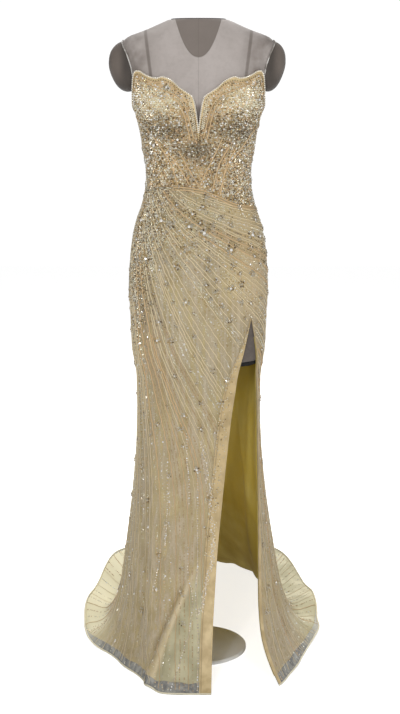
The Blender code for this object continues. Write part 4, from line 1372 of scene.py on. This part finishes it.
NOTCH_CORD = (
    (0.11, 1.34), (0.078, 1.325), (0.047, 1.311), (0.034, 1.297), (0.027, 1.281), (0.0215, 1.262),
    (0.0115, 1.224),
)
CHEVRONS = (
    ((-0.0430, 1.196), (-0.0210, 1.155), (0.0000, 1.119)),
    ((-0.0660, 1.192), (-0.0420, 1.160), (-0.0200, 1.120)),
    ((0.0520, 1.222), (0.0270, 1.170), (0.0030, 1.119)),
    ((0.0660, 1.205), (0.0450, 1.165), (0.0300, 1.106)),
    ((0.0800, 1.200), (0.0600, 1.160), (0.0480, 1.098)),
)
peach_paths = [on_front([(sign * x, z) for x, z in NOTCH_CORD]) for sign in (-1, 1)]
peach_paths += [on_front([(sign * (x + 0.007), z - 0.004) for x, z in NOTCH_CORD[2:]]) for sign in (-1, 1)]
peach_paths += [on_front(rows) for rows in CHEVRONS]
for sign in (-1, 1):
    along = sign * np.linspace(21, 88, 70)
    peach_paths.append(spot(along, cup_seam(along) - 0.0035, SEWN_OUT + 0.0006))
for start, end in ((-26, 179), (-179, -93)):
    along = np.linspace(start, end, 160)
    peach_paths.append(spot(along, waist(along), SEWN_OUT + 0.0008))
    peach_paths.append(spot(along, waist(along) - 0.0055, SEWN_OUT + 0.0004))
tube("cord_peach_bodice", peach_paths, 0.0014, 1, cord_looks["peach"])

# A band of pearls beside the notch
low, high = np.array([1.2345, 1.300, 1.311, 1.321]), np.array([0, 3.0, 4.3, 9.0])
height = np.arange(1.243, 1.314, 0.0042)
pearls = []
for sign in (-1, 1):
    for raised, off in ((0, 0.0065), (0.002, 0.0105)):
        base = np.interp(height + raised, low, high)
        pearls.append((sign * (base + turn_across(off, base, height)), height + raised))
turn, level = np.concatenate(pearls, axis=1)
size = np.full((len(turn), 3), 0.0018)
pearl_tint = np.array([PALETTE["pearl"]]) * chance.uniform(0.9, 1.05, (len(turn), 1))
strew("pearls_notch", CRYSTAL, turn, level, 0.0040, size, pearl_tint, "beaded_bodice")

# Pearls along the top edge, with small brown beads under them
edge_turns = np.linspace(-179, 179, 4000)
gone = gone_along(spot(edge_turns, top_edge(edge_turns) - 0.001, 0.0048))
turn = np.interp(np.arange(0, gone[-1], 0.0044), gone, edge_turns)
size = np.full((len(turn), 3), 0.0021)
pearl_tint = np.array([(0.95, 0.90, 0.78)]) * chance.uniform(0.9, 1.0, (len(turn), 1))
strew("pearls_top_edge", CRYSTAL, turn, top_edge(turn) - 0.0012, 0.0052, size, pearl_tint, "edge_trim")
turn = np.interp(np.arange(0, gone[-1], 0.0060), gone, edge_turns)
size = np.full((len(turn), 3), 0.0014)
brown_tint = np.repeat([PALETTE["brown"]], len(turn), axis=0)
level = binding_low(turn) + 0.001
strew("brown_beads_top_edge", SEED_BEAD, turn, level, 0.0052, size, brown_tint, "edge_trim")


def flowers(name, count, apart, low, high):
    """Clusters of nine beads round a crystal, no two of them close, thinner towards the hem."""
    chosen = []
    while len(chosen) < count:
        turn, level = chance.uniform(-177, 177), low + (high - low) * chance.random() ** 0.8
        if level < SLIT_TOP and not on_skirt(turn, level) or level > top_edge(turn) - 0.014:
            count -= 0.02
            continue
        place = spot(turn, level, SEWN_OUT)
        room = apart * (1.0 if level > 0.85 else 1.5 if level > 0.55 else 2.6)
        if all(np.linalg.norm(place - other) > room for _, _, other in chosen):
            chosen.append((turn, level, place))
        count -= 0.01
    turn, level = np.array([c[:2] for c in chosen]).T
    near_waist = smoothstep(0.8, 0.95, level) * smoothstep(1.15, 1.05, level)
    big = chance.uniform(0.75, 1.2, len(turn)) * (1 + 0.5 * (chance.random(len(turn)) < 0.3))
    big = big * mix(0.95, 1.15, near_waist)
    middle = np.repeat((0.0021 * big)[:, None], 3, axis=1) * np.array([[1, 1, 0.8]])
    bright = np.where(chance.random((len(turn), 1)) < 0.35, (0.94, 0.92, 0.88), (0.52, 0.45, 0.34))
    strew(name + "_crystals", CRYSTAL, turn, level, 0.0050, middle, bright)
    petals, per = [], turn_across(1.0, turn, level)
    for k in range(9):
        angle = k * math.pi / 4.5 + chance.uniform(-0.3, 0.3, len(turn))
        reach = chance.uniform(0.0028, 0.0056, len(turn)) * big
        over = reach * np.cos(angle) * per
        petals.append((turn + over, level + reach * np.sin(angle), angle))
    shades = pick(("silver", "gold", "brown"), (0.52, 0.38, 0.10), 9 * len(turn))
    shades = shades * np.tile(mix(1.0, 0.80, smoothstep(0.70, 0.90, level)), 9)[:, None]
    petal_turn, petal_level, spin = np.concatenate(petals, axis=1)
    size = np.tile(np.outer(big, (0.0019, 0.0014, 0.0010)), (9, 1))
    strew(name + "_petals", SEED_BEAD, petal_turn, petal_level, 0.0046, size, shades, "beaded_tulle", spin)


flowers("flowers", 420, 0.021, 0.12, 1.34)

# A thin scatter of beads runs over the inner half of the slit's left band
level = chance.uniform(0.28, 0.80, 330)
inner, outer = band_edges("left", level)
turn = mix(inner, outer, 0.75 * chance.random(len(level)) ** 1.5)
size = bead_sizes(0.0010, 0.0018, len(level))
tints = pick(("silver", "pearl", "gold", "brown"), (0.30, 0.35, 0.25, 0.10), len(level))
strew("beads_slit_band", SEED_BEAD, turn, level, 0.0047, size, tints, "edge_trim")

# Hem cord
# The tulle's edge is rolled round a thin pale cord, on the floor all the way round.
hem_paths = []
for start, end in ((-180.0, slit_edge("left", 0.0)), (slit_edge("right", 0.0), 180.0)):
    hem_paths.append(spot(np.linspace(start, end, 420), 0.0006, 0.0024) + np.array([0, 0, 0.0016]))
look = Look("ivory_hem_cord")
twist = look.noise(300.0)
ivory_cord = look.join(Base_Color=twist.blend((0.72, 0.66, 0.47), (0.86, 0.80, 0.62)), Roughness=0.5)
tube("hem_cord", hem_paths, 0.0019, 1, ivory_cord)

# Zip
# A concealed zip under a nude strip in the centre back, with a small metal slider and pull tab.
look = Look("zip_tape_weave")
rib = look.wave("Z", 420.0)
zip_weave = look.join(
    Base_Color=rib.blend((0.40, 0.31, 0.21), (0.52, 0.42, 0.30)),
    Roughness=0.7,
    Normal=look.bumped(rib, 0.0003, 0.5),
)
look = Look("pale_metal")
wear = look.noise(900.0, 3.0)
pale_metal = look.join(
    Base_Color=wear.blend((0.55, 0.52, 0.46), (0.68, 0.65, 0.58)),
    Roughness=0.25 + wear * 0.2,
    Metallic=1.0,
)
dress("zip_strip", zip_weave)
dress("zip_slider", pale_metal)
dress("zip_tab", pale_metal)
